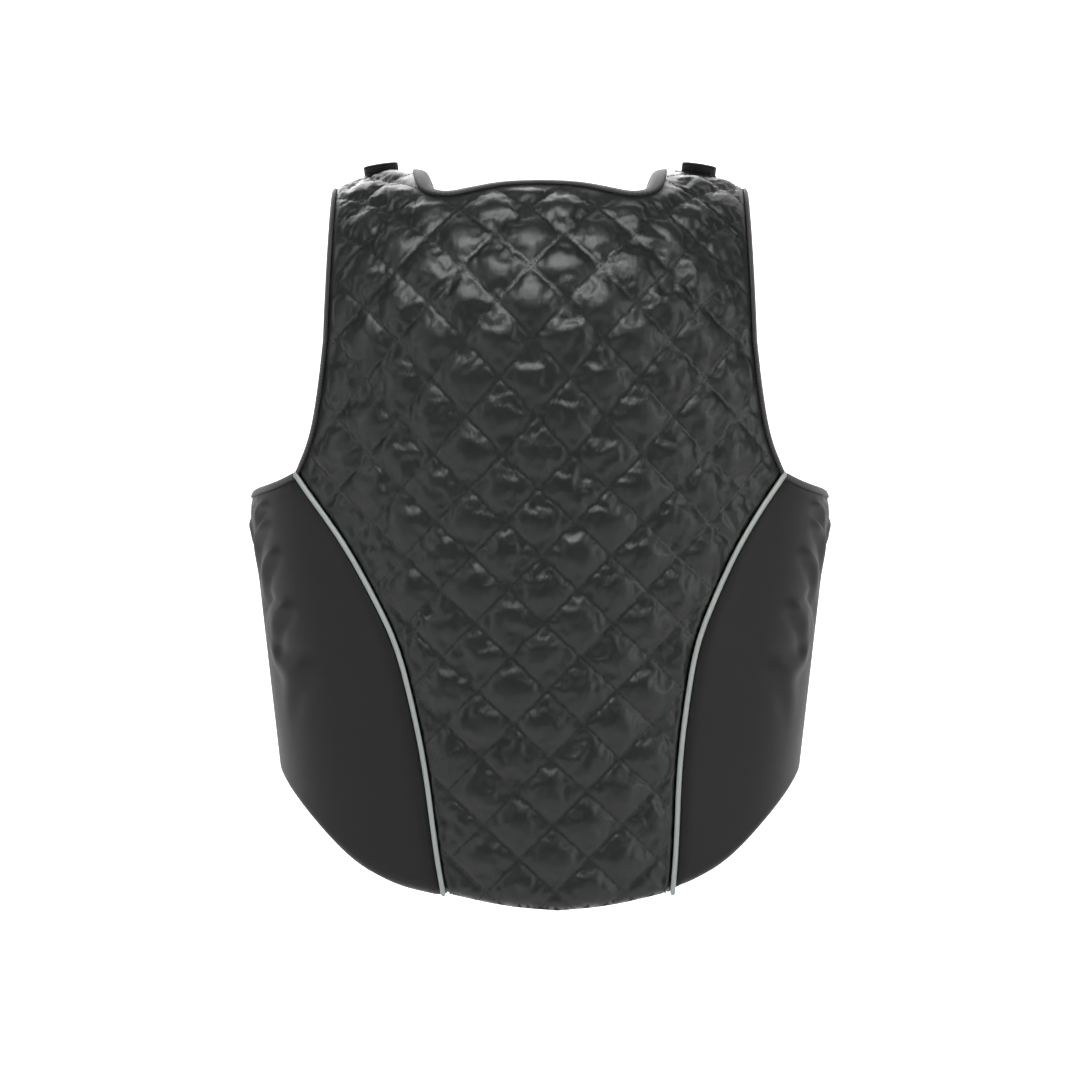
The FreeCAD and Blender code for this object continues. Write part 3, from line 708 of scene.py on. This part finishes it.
sidePanel = {
    "columns": 88,
    "rows": 104,
    "metricRadius": 170 * mm,
    "edgeRoll": 5.0 * mm,
    "edgeRollWidth": 14 * mm,
    "seamRoll": 2.2 * mm,
    "seamRollWidth": 8 * mm,
    "hemRollWidth": 9 * mm,
}

# drag folds of the side panels: start and end as (arc, rise) from the back seam's top, half width and height
sideFolds = [
    ((4, -22), (46, -44), 4.0, 1.5), ((6, -36), (62, -72), 5.5, 1.7), ((30, -20), (86, -38), 5.0, -1.0),
    ((-6, -56), (44, -92), 6.0, 1.6), ((10, -92), (58, -116), 7.0, -1.2), ((-16, -96), (34, -132), 7.0, 1.5),
    ((58, -60), (92, -30), 6.0, 1.3), ((40, -128), (-20, -150), 8.0, 1.0),
    ((70, -100), (100, -72), 8.0, -1.0),
    ((-34, -140), (20, -176), 9.0, 0.9),
]


def coons(bottom, top, left, right):
    # a grid filled in from four edges; bottom and top run outwards, left and right upwards
    columns, rows = len(bottom), len(left)
    u = np.linspace(0, 1, columns)[:, None, None]
    v = np.linspace(0, 1, rows)[None, :, None]
    edges = between(bottom[:, None], top[:, None], v) + between(left[None], right[None], u)
    corners = between(between(bottom[0], bottom[-1], u), between(top[0], top[-1], u), v)
    return edges - corners


def foldHeight(places, folds, origin):
    # soft ridges that swell from nothing, run and fade out
    height = np.zeros(len(places))
    for start, end, halfWidth, rise in folds:
        a = origin + np.array(start) * mm
        b = origin + np.array(end) * mm
        span = b - a
        along = ((places - a) @ span) / (span @ span)
        bow = 0.12 * np.linalg.norm(span) * np.sin(math.pi * np.clip(along, 0, 1))
        across = ((places - a) @ np.array([-span[1], span[0]])) / np.linalg.norm(span) - bow
        width = halfWidth * mm * (0.6 + 0.7 * np.clip(along, 0, 1))
        fade = smoothStep(along / 0.3) * smoothStep((1.15 - along) / 0.6)
        ridge = np.exp(-(across / width) ** 2) - 0.55 * np.exp(-((across + 1.7 * width) / width) ** 2)
        height += 1.8 * rise * mm * fade * ridge
    return height


def makeSidePanel(name, side):
    radius = sidePanel["metricRadius"]
    back, front = outlines["back"], outlines["front"]

    def around(line, turned=False):
        angle = angleAt(line[:, 0], line[:, 1])
        return np.stack([(math.pi - angle if turned else angle) * radius, line[:, 1]], axis=1)

    backSeamLine = leaned(shifted(back["seam"], seamInset), lean * side)
    frontSeamLine = shifted(front["seam"], seamInset)
    left = around(backSeamLine)
    right = around(frontSeamLine, True)
    sideTop = np.array([[math.pi / 2 * radius, armholeLevel - form["yokeLevel"] - edgeInset]])
    sideLow = np.array([[math.pi / 2 * radius, hemSide - form["yokeLevel"]]])
    backArm = around(shifted(back["armholeLow"], -edgeInset)[::-1])
    frontArm = around(shifted(front["armholeLow"], -edgeInset), True)
    top = np.vstack([left[-1:], backArm[3:-3], sideTop, frontArm[3:-3], right[-1:]])
    backLow = around(back["hem"][back["hem"][:, 0] > backSeamLine[0, 0] + 4 * mm])
    frontLow = around(front["hem"][front["hem"][:, 0] > frontSeamLine[0, 0] + 4 * mm][::-1], True)
    bottom = np.vstack([left[:1], backLow[:-3], sideLow, frontLow[3:], right[:1]])
    bottom = chaikin(bottom, 1)
    columns, rows = sidePanel["columns"], sidePanel["rows"]
    grid = coons(resampled(bottom, columns), resampled(top, columns),
                 resampled(left, rows), resampled(right, rows))
    places = grid.reshape(-1, 2)
    half = form["padDepth"] / 2
    rolls = [(top, sidePanel["edgeRoll"], 4 * mm, sidePanel["edgeRollWidth"]),
             (bottom, half, half, sidePanel["hemRollWidth"]),
             (left, sidePanel["seamRoll"], 0.0, sidePanel["seamRollWidth"]),
             (right, sidePanel["seamRoll"], 0.0, sidePanel["seamRollWidth"])]
    out, inward = rollDepths(places, rolls)
    origin = left[-1] + np.array([22 * mm, 0])
    folds = foldHeight(places, sideFolds, origin)
    frontOrigin = right[-1] - np.array([22 * mm, 0])
    mirrorPlaces = (places - frontOrigin) * np.array([-1, 1])
    folds += 0.8 * foldHeight(mirrorPlaces, sideFolds[:6], np.zeros(2))
    calm = np.ones(len(places))
    for line in (top, bottom, left, right):
        calm = np.minimum(calm, smoothStep(nearestOnLine(places, line)[0] / (7 * mm)))
    swell = 1.2 * mm * calm
    angle = places[:, 0] / radius
    outer = anglePoint(angle, places[:, 1], out - folds * calm - swell)
    inner = anglePoint(angle, places[:, 1], form["padDepth"] - inward)
    faces = gridFaces(columns, rows)
    if side < 0:
        outer[:, 0] *= -1
        inner[:, 0] *= -1
        faces = [tuple(reversed(face)) for face in faces]
    piece = closedPad(name, outer, inner, faces, places / (10 * mm))
    piece.data.materials.append(mattNylon)
    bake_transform(piece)
    return piece


print("stage: side panels")
for sideName, side in sides:
    piece = makeSidePanel("side_panel_" + sideName, side)
    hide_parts("back_side_shell_" + sideName, "back_side_foam_" + sideName,
                "front_side_shell_" + sideName, "front_side_foam_" + sideName)


# front quilted panels

frontQuilt = {"zipRollWidth": 5 * mm, "zipInset": 0.5 * mm}


def frontParts():
    part = halfOutline("front")
    hemLine = part["hem"].copy()
    hemLine[0, 0] = pattern["zipX"] + frontQuilt["zipInset"]
    neck = part["neck"].copy()
    neck[-1] = (pattern["zipX"] + frontQuilt["zipInset"], neck[-1, 1])
    part["hem"] = hemLine
    part["neck"] = neck
    part["zip"] = np.stack([neck[-1], hemLine[0]])
    return part


print("stage: front quilted panels")
frontStitches = {}
for sideName, side in sides:
    part = frontParts()
    outline = polygonOf([part["hem"], part["seam"], part["arm"], part["end"], part["neck"], part["zip"]])[:-1]
    half = form["padDepth"] / 2
    rolls = [(part["arm"], quilt["edgeRoll"], 4 * mm, quilt["edgeRollWidth"]),
             (part["neck"], quilt["neckRoll"], 4 * mm, quilt["edgeRollWidth"]),
             (part["seam"], quilt["seamRoll"], 0.0, quilt["seamRollWidth"]),
             (part["hem"], half, half, 9 * mm), (part["end"], half, half, 9 * mm),
             (part["zip"], 3 * mm, 6 * mm, frontQuilt["zipRollWidth"])]
    if side < 0:
        rolls = [(flipped(line), a, b, c) for line, a, b, c in rolls]
    panel, lines = makeQuiltPanel("front_quilted_panel_" + sideName, outline, rolls, -1, 0.0, mirror=side < 0)
    panel.data.materials.append(satinNylon)
    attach(panel, "front_" + sideName)
    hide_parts("front_quilted_shell_" + sideName, "front_foam_core_" + sideName)
    frontStitches[sideName] = lines


# linings

lining = {"thickness": 0.8 * mm, "pitch": 6 * mm}


def frontPlate(outline, pitch, facing, mirror=False):
    # a plain mesh over an outline, for the lining
    low, high = outline.min(axis=0), outline.max(axis=0)
    xs = np.arange(low[0], high[0] + pitch, pitch)
    rises = np.arange(low[1], high[1] + pitch, pitch)
    flat = np.stack(np.meshgrid(xs, rises, indexing="ij"), axis=-1)
    centre = (flat[:-1, :-1] + flat[1:, 1:]) / 2
    keep = insidePolygon(centre.reshape(-1, 2), outline).reshape(centre.shape[:2])
    a, b = np.nonzero(keep)
    first = a * len(rises) + b
    after = first + len(rises)
    raw = np.stack([first, after, after + 1, first + 1], axis=1)
    used, faces = np.unique(raw, return_inverse=True)
    faces = [tuple(int(i) for i in face) for face in faces.reshape(-1, 4)]
    places = flat.reshape(-1, 2)[used]
    edge = np.array(sorted({index for pair in boundaryEdges(faces) for index in pair}))
    places[edge] = nearestOnLine(places[edge], np.vstack([outline, outline[:1]]))[1]
    if mirror:
        places = flipped(places)
    if (facing > 0) == (not mirror):
        faces = [tuple(reversed(face)) for face in faces]
    return places, faces


def addThickness(piece, thickness, offset=0.0):
    solid = piece.modifiers.new("thickness", "SOLIDIFY")
    solid.thickness = thickness
    solid.offset = offset
    solid.use_quality_normals = True
    return piece


print("stage: linings")


def makeLining(name, outline, rolls, facing, body, nodes, mirror=False):
    places, faces = frontPlate(outline, lining["pitch"], facing, mirror)
    inward = rollDepths(places, rolls)[1]
    faces = [tuple(reversed(face)) for face in faces]
    points = formPoint(places[:, 0], places[:, 1], form["padDepth"] + 0.7 * mm - inward, facing)
    piece = makeMesh(name, points, faces, places / (10 * mm))
    piece.data.materials.append(liningCloth)
    addThickness(piece, lining["thickness"])
    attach(piece, body)
    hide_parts(*nodes)
    return piece


makeLining("back_lining_cloth", backOutline, backRolls, 1, "back", ["back_lining"])
for sideName, side in sides:
    part = frontParts()
    outline = polygonOf([part["hem"], part["seam"], part["arm"], part["end"], part["neck"], part["zip"]])[:-1]
    half = form["padDepth"] / 2
    rolls = [(part["arm"], 0, 4 * mm, quilt["edgeRollWidth"]),
             (part["neck"], 0, 4 * mm, quilt["edgeRollWidth"]),
             (part["hem"], 0, half, 9 * mm), (part["end"], 0, half, 9 * mm),
             (part["zip"], 0, 6 * mm, frontQuilt["zipRollWidth"])]
    if side < 0:
        rolls = [(flipped(line), a, b, c) for line, a, b, c in rolls]
    makeLining("front_lining_cloth_" + sideName, outline, rolls, -1, "front_" + sideName,
               ["front_lining_" + sideName], mirror=side < 0)


# swept trims: binding and piping

binding = {
    "reach": 6.2 * mm,
    "thickness": 0.7 * mm,
    "proud": 1.5 * mm,
    "neckReach": 9.5 * mm,
    "neckProud": 2.0 * mm,
    "step": 3.0 * mm,
}
piping = {"radius": 1.9 * mm, "depth": -0.2 * mm, "step": 3.0 * mm, "sides": 10}


def bindingProfile(reach, proud, roll):
    # (distance into the panel, depth) from the outer lip round the edge to the inner lip
    innerEdge = form["padDepth"] - 4 * mm

    def outDepth(distance):
        share = 1 - min(distance / quilt["edgeRollWidth"], 1)
        return roll * (1 - math.sqrt(1 - share * share))

    def inDepth(distance):
        share = 1 - min(distance / quilt["edgeRollWidth"], 1)
        return form["padDepth"] + 1.1 * mm - 4 * mm * (1 - math.sqrt(1 - share * share))

    profile = [(reach, outDepth(reach) - 0.1 * mm), (reach * 0.9, outDepth(reach * 0.9) - proud)]
    for share in (0.7, 0.5, 0.3, 0.12):
        profile.append((reach * share, outDepth(reach * share) - proud))
    middle = (roll + innerEdge) / 2
    roundSteps = 5
    halfSpan = (innerEdge - roll) / 2 + proud
    for step in range(roundSteps + 1):
        angle = math.pi * (0.12 + 0.76 * step / roundSteps)
        profile.append((-1.0 * mm * math.sin(angle) - 0.2 * mm, middle - halfSpan * math.cos(angle)))
    for share in (0.12, 0.3, 0.5, 0.7, 0.9):
        profile.append((reach * share, inDepth(reach * share) + 0.4 * mm))
    profile.append((reach, inDepth(reach)))
    return profile


def sweepBinding(name, line, inwardSign, facing, body, nodes, mirror=1, useAngle=False, neck=False):
    profile = bindingProfile(binding["reach"], binding["proud"], quilt["edgeRoll"])
    if neck:
        profile = bindingProfile(binding["neckReach"], binding["neckProud"], quilt["neckRoll"])
    count = max(8, int(lineLength(line) / binding["step"]))
    path = resampled(line, count)
    columns = []
    uv = []
    run = np.linspace(0, lineLength(line), count)
    width = 0.0
    for index, (distance, depth) in enumerate(profile):
        moved = shifted(path, inwardSign * distance)
        if useAngle:
            points = anglePoint(moved[:, 0] / sidePanel["metricRadius"], moved[:, 1], depth, facing)
        else:
            points = formPoint(moved[:, 0], moved[:, 1], depth, facing)
        columns.append(points)
        if index:
            before = profile[index - 1]
            width += math.hypot(distance - before[0], depth - before[1])
        uv.append(np.stack([np.full(count, width), run], axis=1))
    points = np.vstack(columns)
    points[:, 0] *= mirror
    faces = gridFaces(len(profile), count)
    if inwardSign * facing * mirror < 0:
        faces = [tuple(reversed(face)) for face in faces]
    piece = makeMesh(name, points, faces, np.vstack(uv) / (10 * mm))
    piece.data.materials.append(bindingTape)
    addThickness(piece, binding["thickness"], -1.0)
    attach(piece, body)
    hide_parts(*nodes)
    return piece


def sweepTube(name, path, radius, count, material, body, nodes=()):
    # a round cord along a line of points, with domed ends
    path = np.asarray(path)
    tangent = np.gradient(path, axis=0)
    tangent /= np.linalg.norm(tangent, axis=1)[:, None]
    outward = path * np.array([1, 1, 0]) + 1e-9
    normal = outward - (outward * tangent).sum(axis=1)[:, None] * tangent
    normal /= np.linalg.norm(normal, axis=1)[:, None]
    side = np.cross(tangent, normal)
    rings = []
    for place, along, up, across, scale, push in [(path[0], tangent[0], normal[0], side[0], 0.55, -0.8)] \
            + [(path[i], tangent[i], normal[i], side[i], 1.0, 0.0) for i in range(len(path))] \
            + [(path[-1], tangent[-1], normal[-1], side[-1], 0.55, 0.8)]:
        angles = np.linspace(0, 2 * math.pi, count, endpoint=False)
        circle = np.cos(angles)[:, None] * up + np.sin(angles)[:, None] * across
        rings.append(place + along * push * radius + scale * radius * circle)
    rows = len(rings)
    tips = [(path[0] - tangent[0] * radius)[None], (path[-1] + tangent[-1] * radius)[None]]
    points = np.vstack(rings + tips)
    faces = []
    for row in range(rows - 1):
        for index in range(count):
            after = (index + 1) % count
            low, high = row * count, (row + 1) * count
            faces.append((low + index, low + after, high + after, high + index))
    first, last = rows * count, rows * count + 1
    for index in range(count):
        after = (index + 1) % count
        faces.append((first, after, index))
        faces.append((last, (rows - 1) * count + index, (rows - 1) * count + after))
    around = np.tile(np.linspace(0, 2 * math.pi * radius, count), rows)
    full = lineLength(path)
    run = np.repeat(np.concatenate([[0], np.linspace(0, full, rows - 2), [full]]), count)
    uv = np.vstack([np.stack([around, run], axis=1), [[0, 0], [0, full]]]) / (10 * mm)
    piece = makeMesh(name, points, faces, uv)
    piece.data.materials.append(material)
    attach(piece, body)
    if nodes:
        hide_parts(*nodes)
    return piece


print("stage: bindings and piping")
backHalf = outlines["back"]
frontHalf = outlines["front"]
wholeNeck = np.vstack([flipped(backHalf["neck"])[::-1], backHalf["neck"][1:]])
sweepBinding("neck_binding_back", wholeNeck, 1, 1, "back", ["back_neck_binding"], neck=True)
for sideName, side in sides:
    frontBody = "front_" + sideName
    radius = sidePanel["metricRadius"]

    def metric(line):
        angle = angleAt(line[:, 0], line[:, 1])
        return np.stack([angle * radius, line[:, 1]], axis=1)

    for half, shape, facing, body in (("back", backHalf, 1, "back"), ("front", frontHalf, -1, frontBody)):
        line = np.vstack([shape["armholeLow"], shape["armhole"][1:]])
        line = metric(line)
        line[0, 0] = math.pi / 2 * radius
        sweepBinding("armhole_binding_%s_%s" % (half, sideName), chaikin(line, 1), -1, facing, body,
                     ["%s_armhole_binding_%s" % (half, sideName)], mirror=side, useAngle=True)
    sweepBinding("neck_binding_front_" + sideName, frontHalf["neck"], 1, -1, frontBody,
                 ["front_neck_binding_" + sideName], mirror=side, neck=True)
    for half, shape, facing, body in (("back", backHalf, 1, "back"), ("front", frontHalf, -1, frontBody)):
        seam = shape["seam"]
        if half == "back":
            seam = leaned(seam, lean * side)
        seam = resampled(seam, int(lineLength(seam) / piping["step"]))[:-1]
        path = formPoint(seam[:, 0], seam[:, 1], piping["depth"], facing)
        path[:, 0] *= side
        sweepTube("piping_%s_%s" % (half, sideName), path, piping["radius"], piping["sides"], pipingCloth,
                  body, ["%s_piping_%s" % (half, sideName)])


# stitches

stitch = {"pitch": 3.4 * mm, "length": 2.5 * mm, "radius": 0.42 * mm, "seamOffset": 4.6 * mm}


def repeatTree(name, segments, rings, radius, material, turned):
    # small balls at even steps along lines, stretched to a size and turned along the line where asked
    tree = bpy.data.node_groups.new(name, "GeometryNodeTree")
    face = tree.interface
    face.new_socket("Lines", in_out="INPUT", socket_type="NodeSocketGeometry")
    pitch = face.new_socket("Pitch", in_out="INPUT", socket_type="NodeSocketFloat")
    size = face.new_socket("Size", in_out="INPUT", socket_type="NodeSocketVector")
    face.new_socket("Pieces", in_out="OUTPUT", socket_type="NodeSocketGeometry")
    start = addNode(tree, "NodeGroupInput")
    points = addNode(tree, "GeometryNodeCurveToPoints", {"mode": "LENGTH"},
                     links={"Curve": start.outputs["Lines"], "Length": start.outputs["Pitch"]})
    ball = addNode(tree, "GeometryNodeMeshUVSphere",
                   values={"Segments": segments, "Rings": rings, "Radius": radius})
    placed = addNode(tree, "GeometryNodeInstanceOnPoints",
                     links={"Points": points.outputs["Points"], "Instance": ball.outputs["Mesh"],
                            "Scale": start.outputs["Size"]})
    if turned:
        tree.links.new(points.outputs["Rotation"], placed.inputs["Rotation"])
    real = addNode(tree, "GeometryNodeRealizeInstances", links={"Geometry": placed.outputs[0]})
    smooth = addNode(tree, "GeometryNodeSetShadeSmooth", links={"Geometry": real.outputs[0]})
    dressed = addNode(tree, "GeometryNodeSetMaterial", values={"Material": material},
                      links={"Geometry": smooth.outputs[0]})
    end = addNode(tree, "NodeGroupOutput")
    tree.links.new(dressed.outputs[0], end.inputs[0])
    return tree, pitch.identifier, size.identifier


stitchMaker = repeatTree("stitches along lines", 6, 4, 1.0, stitchThread, True)


def linesToCurve(name, lines):
    curve = bpy.data.curves.new(name, "CURVE")
    curve.dimensions = "3D"
    for line in lines:
        spline = curve.splines.new("POLY")
        spline.points.add(len(line) - 1)
        spline.points.foreach_set("co", np.hstack([line, np.ones((len(line), 1))]).ravel())
    holder = bpy.data.objects.new(name, curve)
    bpy.context.scene.collection.objects.link(holder)
    return holder


def repeatAlong(name, lines, maker, pitch, size):
    # a plain mesh of everything the tree sets along the lines
    tree, pitchKey, sizeKey = maker
    holder = linesToCurve(name + "_lines", lines)
    modifier = holder.modifiers.new("repeats", "NODES")
    modifier.node_group = tree
    modifier[pitchKey] = pitch
    modifier[sizeKey] = size
    evaluated = holder.evaluated_get(bpy.context.evaluated_depsgraph_get())
    mesh = bpy.data.meshes.new_from_object(evaluated)
    mesh.name = name
    piece = bpy.data.objects.new(name, mesh)
    bpy.context.scene.collection.objects.link(piece)
    bpy.data.objects.remove(holder, do_unlink=True)
    return piece


def makeStitches(name, lines, body, scale=1.0):
    radius = stitch["radius"] * scale
    piece = repeatAlong(name, lines, stitchMaker, stitch["pitch"], (radius, radius, stitch["length"] * 0.5))
    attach(piece, body)
    print("stitches", name, len(piece.data.polygons), "faces")


def seamStitchLine(half, side, facing):
    shape = outlines[half]
    seam = shape["seam"]
    if half == "back":
        seam = leaned(seam, lean * side)
    seam = shifted(seam, -stitch["seamOffset"])
    seam = resampled(seam, 160)[:-2]
    share = 1 - stitch["seamOffset"] / quilt["seamRollWidth"]
    depth = quilt["seamRoll"] * (1 - math.sqrt(1 - share * share)) + quilt["stitchDepth"] * 0.8
    points = formPoint(seam[:, 0], seam[:, 1], depth, facing)
    points[:, 0] *= side
    return points


print("stage: stitches")
makeStitches("back_quilt_stitches", backStitches, "back")
makeStitches("back_seam_stitches", [seamStitchLine("back", side, 1) for name, side in sides], "back",
             1.3)
for sideName, side in sides:
    makeStitches("front_quilt_stitches_" + sideName, frontStitches[sideName], "front_" + sideName)
    makeStitches("front_seam_stitches_" + sideName, [seamStitchLine("front", side, -1)], "front_" + sideName,
                 1.3)


# shoulder straps

strap = {"middle": 117.5 * mm, "width": 25 * mm, "sewnY": -76 * mm, "foldY": -60 * mm, "freeY": 3 * mm,
         "topDepth": -6.2 * mm, "thickness": 1.8 * mm, "corner": 9 * mm}


def strapPiece(sideName, side):
    rows = 60
    columns = 13
    ys = np.linspace(strap["freeY"], strap["sewnY"], rows)
    rises = np.array([riseAtY(strap["middle"], y) for y in ys])
    run = np.concatenate([[0], np.cumsum(np.abs(np.diff(rises)))])
    points = []
    uv = []
    for column in range(columns):
        share = column / (columns - 1) * 2 - 1
        halfWidth = strap["width"] / 2
        corner = strap["corner"]
        rounded = np.where(run < corner, np.sqrt(np.clip(corner ** 2 - (corner - run) ** 2, 0, None)), corner)
        width = halfWidth - corner + rounded
        x = strap["middle"] + share * width
        sewn = smoothStep((run - (run[-1] - 22 * mm)) / (14 * mm))
        depth = between(strap["topDepth"], -2.6 * mm, sewn)
        points.append(formPoint(x, rises, depth))
        uv.append(np.stack([share * width, run], axis=1))
    points = np.vstack(points)
    points[:, 0] *= side
    faces = gridFaces(columns, rows)
    if side < 0:
        faces = [tuple(reversed(face)) for face in faces]
    piece = makeMesh("shoulder_strap_cloth_" + sideName, points, faces, np.vstack(uv) / (10 * mm))
    piece.data.materials.append(strapWebbing)
    addThickness(piece, strap["thickness"], -1.0)
    return piece


print("stage: shoulder straps")
for sideName, side in sides:
    piece = strapPiece(sideName, side)
    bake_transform(piece)
    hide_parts("shoulder_strap_" + sideName, "strap_base_" + sideName)


# zip, label, loop and hook-and-loop

zipCoil = {"toothPitch": 2.0 * mm, "toothWidth": 2.5 * mm, "toothHeight": 1.15 * mm, "toothDepth": 1.9 * mm}


def enamel(name, colour, grain, roughness):
    # cast and enamelled metal: a smooth dark coat with a slight orange peel
    material, tree, bsdf = newMaterial(name, {"Base Color": srgb(colour), "Roughness": roughness,
                                              "Coat Weight": 0.4,
                                              "Coat Roughness": 0.25})
    place = addNode(tree, "ShaderNodeTexCoord")
    peel = addNode(tree, "ShaderNodeTexNoise", values={"Scale": 1 / (grain * mm), "Detail": 3.0},
                   links={"Vector": place.outputs["Object"]})
    worn = addNode(tree, "ShaderNodeMapRange",
                   values={"To Min": roughness - 0.08, "To Max": roughness + 0.12},
                   links={"Value": peel.outputs["Fac"]})
    tree.links.new(worn.outputs[0], bsdf.inputs["Roughness"])
    bump = addNode(tree, "ShaderNodeBump", values={"Strength": 0.15, "Distance": 0.0002},
                   links={"Height": peel.outputs["Fac"]})
    tree.links.new(bump.outputs[0], bsdf.inputs["Normal"])
    return material


def hookPile(name, dark, light, grain, strength):
    # moulded hooks or brushed loops: a tight pile that breaks up the light
    material, tree, bsdf = newMaterial(name, {"Roughness": 0.85, "Sheen Weight": 0.3, "Sheen Roughness": 0.5})
    place = addNode(tree, "ShaderNodeTexCoord")
    pile = addNode(tree, "ShaderNodeTexVoronoi", values={"Scale": 1 / (grain * mm)},
                   links={"Vector": place.outputs["Object"]})
    colour = mixColours(tree, pile.outputs["Distance"], dark, light)
    tree.links.new(colour, bsdf.inputs["Base Color"])
    bump = addNode(tree, "ShaderNodeBump", values={"Strength": strength, "Distance": 0.0006},
                   links={"Height": pile.outputs["Distance"]})
    tree.links.new(bump.outputs[0], bsdf.inputs["Normal"])
    return material


# enamelled casting: small rounded highlights
zincEnamel = enamel("enamelled zinc casting", "#141416", 0.8, 0.38)
# moulded nylon: low, even gloss on the turns
coilNylon = enamel("moulded nylon coil", "#111113", 0.5, 0.45)
# tight plain weave, flat black
zipTapeCloth = wovenCloth("woven polyester zip tape", "#0f0f10", "#1d1d1f", 0.8, 0.6, 0.7, 0.1, onObject=True)
# pale satin tape, the only light thing inside the neck
labelSatin = wovenCloth("satin label tape", "#b9b7b0", "#d5d3cc", 0.6, 0.2, 0.45, 0.0, onObject=True)
# narrow ribbed tape
loopTape = wovenCloth("hanger tape", "#151516", "#262628", 0.9, 0.6, 0.6, 0.1, onObject=True)
# moulded hooks: a rough dark grain
hookCloth = hookPile("hook fastener, moulded", "#0a0a0b", "#232325", 0.9, 0.9)
# brushed loops: softer and a little paler than the hooks
loopPatchCloth = hookPile("loop fastener, brushed", "#121213", "#2b2b2d", 0.6, 0.6)

nodeMaterials = {"zip_slider": zincEnamel, "zip_puller": zincEnamel, "zip_insertion_pin": zincEnamel,
                 "zip_retainer_box": zincEnamel, "care_label": labelSatin, "hanger_loop": loopTape}
for sideName, side in sides:
    nodeMaterials["zip_tape_" + sideName] = zipTapeCloth
    nodeMaterials["zip_top_stop_" + sideName] = zincEnamel
    nodeMaterials["hook_pad_" + sideName] = hookCloth
    nodeMaterials["shoulder_patch_" + sideName] = loopPatchCloth
for nodeName, material in nodeMaterials.items():
    cadPiece = bpy.data.objects[nodeName]
    for slotIndex in range(len(cadPiece.material_slots)):
        cadPiece.material_slots[slotIndex].link = "OBJECT"
        cadPiece.material_slots[slotIndex].material = material


print("stage: zip coil")
toothMaker = repeatTree("zip coil turns", 8, 6, 0.5, coilNylon, False)
toothSize = (zipCoil["toothWidth"], zipCoil["toothDepth"], zipCoil["toothHeight"] * 1.45)
for sideName, side in sides:
    low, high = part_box("zip_coil_" + sideName)
    middle = (low[0] + high[0]) / 2
    depth = (zipCoil["toothDepth"] + 0.3 * mm) / 2
    span = high[2] - low[2]
    line = np.array([(middle, high[1] - depth, low[2] + span * 0.004),
                     (middle, low[1] + depth, low[2] + span * 0.996)])
    piece = repeatAlong("zip_coil_turns_" + sideName, [line], toothMaker, zipCoil["toothPitch"], toothSize)
    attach(piece, "front_" + sideName)
    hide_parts("zip_coil_" + sideName)


# stage, light and camera

studio = {
    "cameraDistance": 2.9,
    "cameraLevel": -0.263,
    "frameWidth": 0.8208,
    "floorLevel": cadBox[0][2] - 0.3,
    "worldStrength": 0.14,
    "paperGlow": 0.92,
}


def makeStage():
    # one pale sheet: floor, a wide curve and a wall behind
    floorLevel = studio["floorLevel"]
    profile = [(6.0, floorLevel), (-2.2, floorLevel)]
    for step in range(1, 13):
        angle = step / 12 * math.pi / 2
        profile.append((-2.2 - 1.2 * math.sin(angle), floorLevel + 1.2 * (1 - math.cos(angle))))
    profile.append((-3.4, 6.0))
    points = [(x, y, z) for x in (-9.0, 9.0) for y, z in profile]
    count = len(profile)
    faces = [(index, index + count, index + count + 1, index + 1) for index in range(count - 1)]
    stage = makeMesh("studio_sweep", points, faces)
    # back-lit paper: white behind the vest, fading to plain paper under the lamps
    paper, tree, bsdf = newMaterial("back-lit white paper", {"Base Color": srgb("#f6f6f5"), "Roughness": 0.9,
                                                             "Specular IOR Level": 0.2,
                                                             "Emission Color": srgb("#ffffff")})
    place = addNode(tree, "ShaderNodeTexCoord")
    split = addNode(tree, "ShaderNodeSeparateXYZ", links={0: place.outputs["Object"]})
    glow = addNode(tree, "ShaderNodeMapRange",
                   values={"From Min": -0.9, "From Max": 0.0, "To Min": studio["paperGlow"], "To Max": 0.0},
                   links={"Value": split.outputs["Y"]})
    tree.links.new(glow.outputs[0], bsdf.inputs["Emission Strength"])
    stage.data.materials.append(paper)


def addLight(name, place, target, size, power):
    light = bpy.data.lights.new(name, "AREA")
    light.shape = "RECTANGLE"
    light.size = size[0]
    light.size_y = size[1]
    light.energy = power
    lamp = bpy.data.objects.new(name, light)
    bpy.context.scene.collection.objects.link(lamp)
    direction = Vector(target) - Vector(place)
    lamp.matrix_world = Matrix.Translation(place) @ direction.to_track_quat("-Z", "Y").to_matrix().to_4x4()


def makeStudio():
    bpy.context.scene.view_settings.view_transform = "Standard"
    world = bpy.data.worlds.new("studio")
    bpy.context.scene.world = world
    world.use_nodes = True
    world.node_tree.nodes["Background"].inputs["Color"].default_value = (1, 1, 1, 1)
    world.node_tree.nodes["Background"].inputs["Strength"].default_value = studio["worldStrength"]
    middle = (0.0, 0.0, studio["cameraLevel"])
    addLight("top softbox", (0.1, 1.5, 1.6), middle, (1.6, 0.8), 42)
    addLight("left softbox", (1.9, 1.3, 0.1), middle, (0.4, 1.4), 7)
    addLight("right softbox", (-1.9, 1.3, 0.1), middle, (0.4, 1.4), 11)
    addLight("front softbox", (0.3, -2.0, 1.2), middle, (1.6, 1.2), 26)
    camera = bpy.data.cameras.new("camera")
    lens = bpy.data.objects.new("camera", camera)
    bpy.context.scene.collection.objects.link(lens)
    camera.sensor_width = 36.0
    camera.lens = camera.sensor_width * studio["cameraDistance"] / studio["frameWidth"]
    lens.matrix_world = Matrix.Translation((0.0, studio["cameraDistance"], studio["cameraLevel"])) \
        @ Matrix.Rotation(math.pi, 4, "Z") @ Matrix.Rotation(math.pi / 2, 4, "X")
    bpy.context.scene.camera = lens


print("stage: studio")
makeStage()
makeStudio()
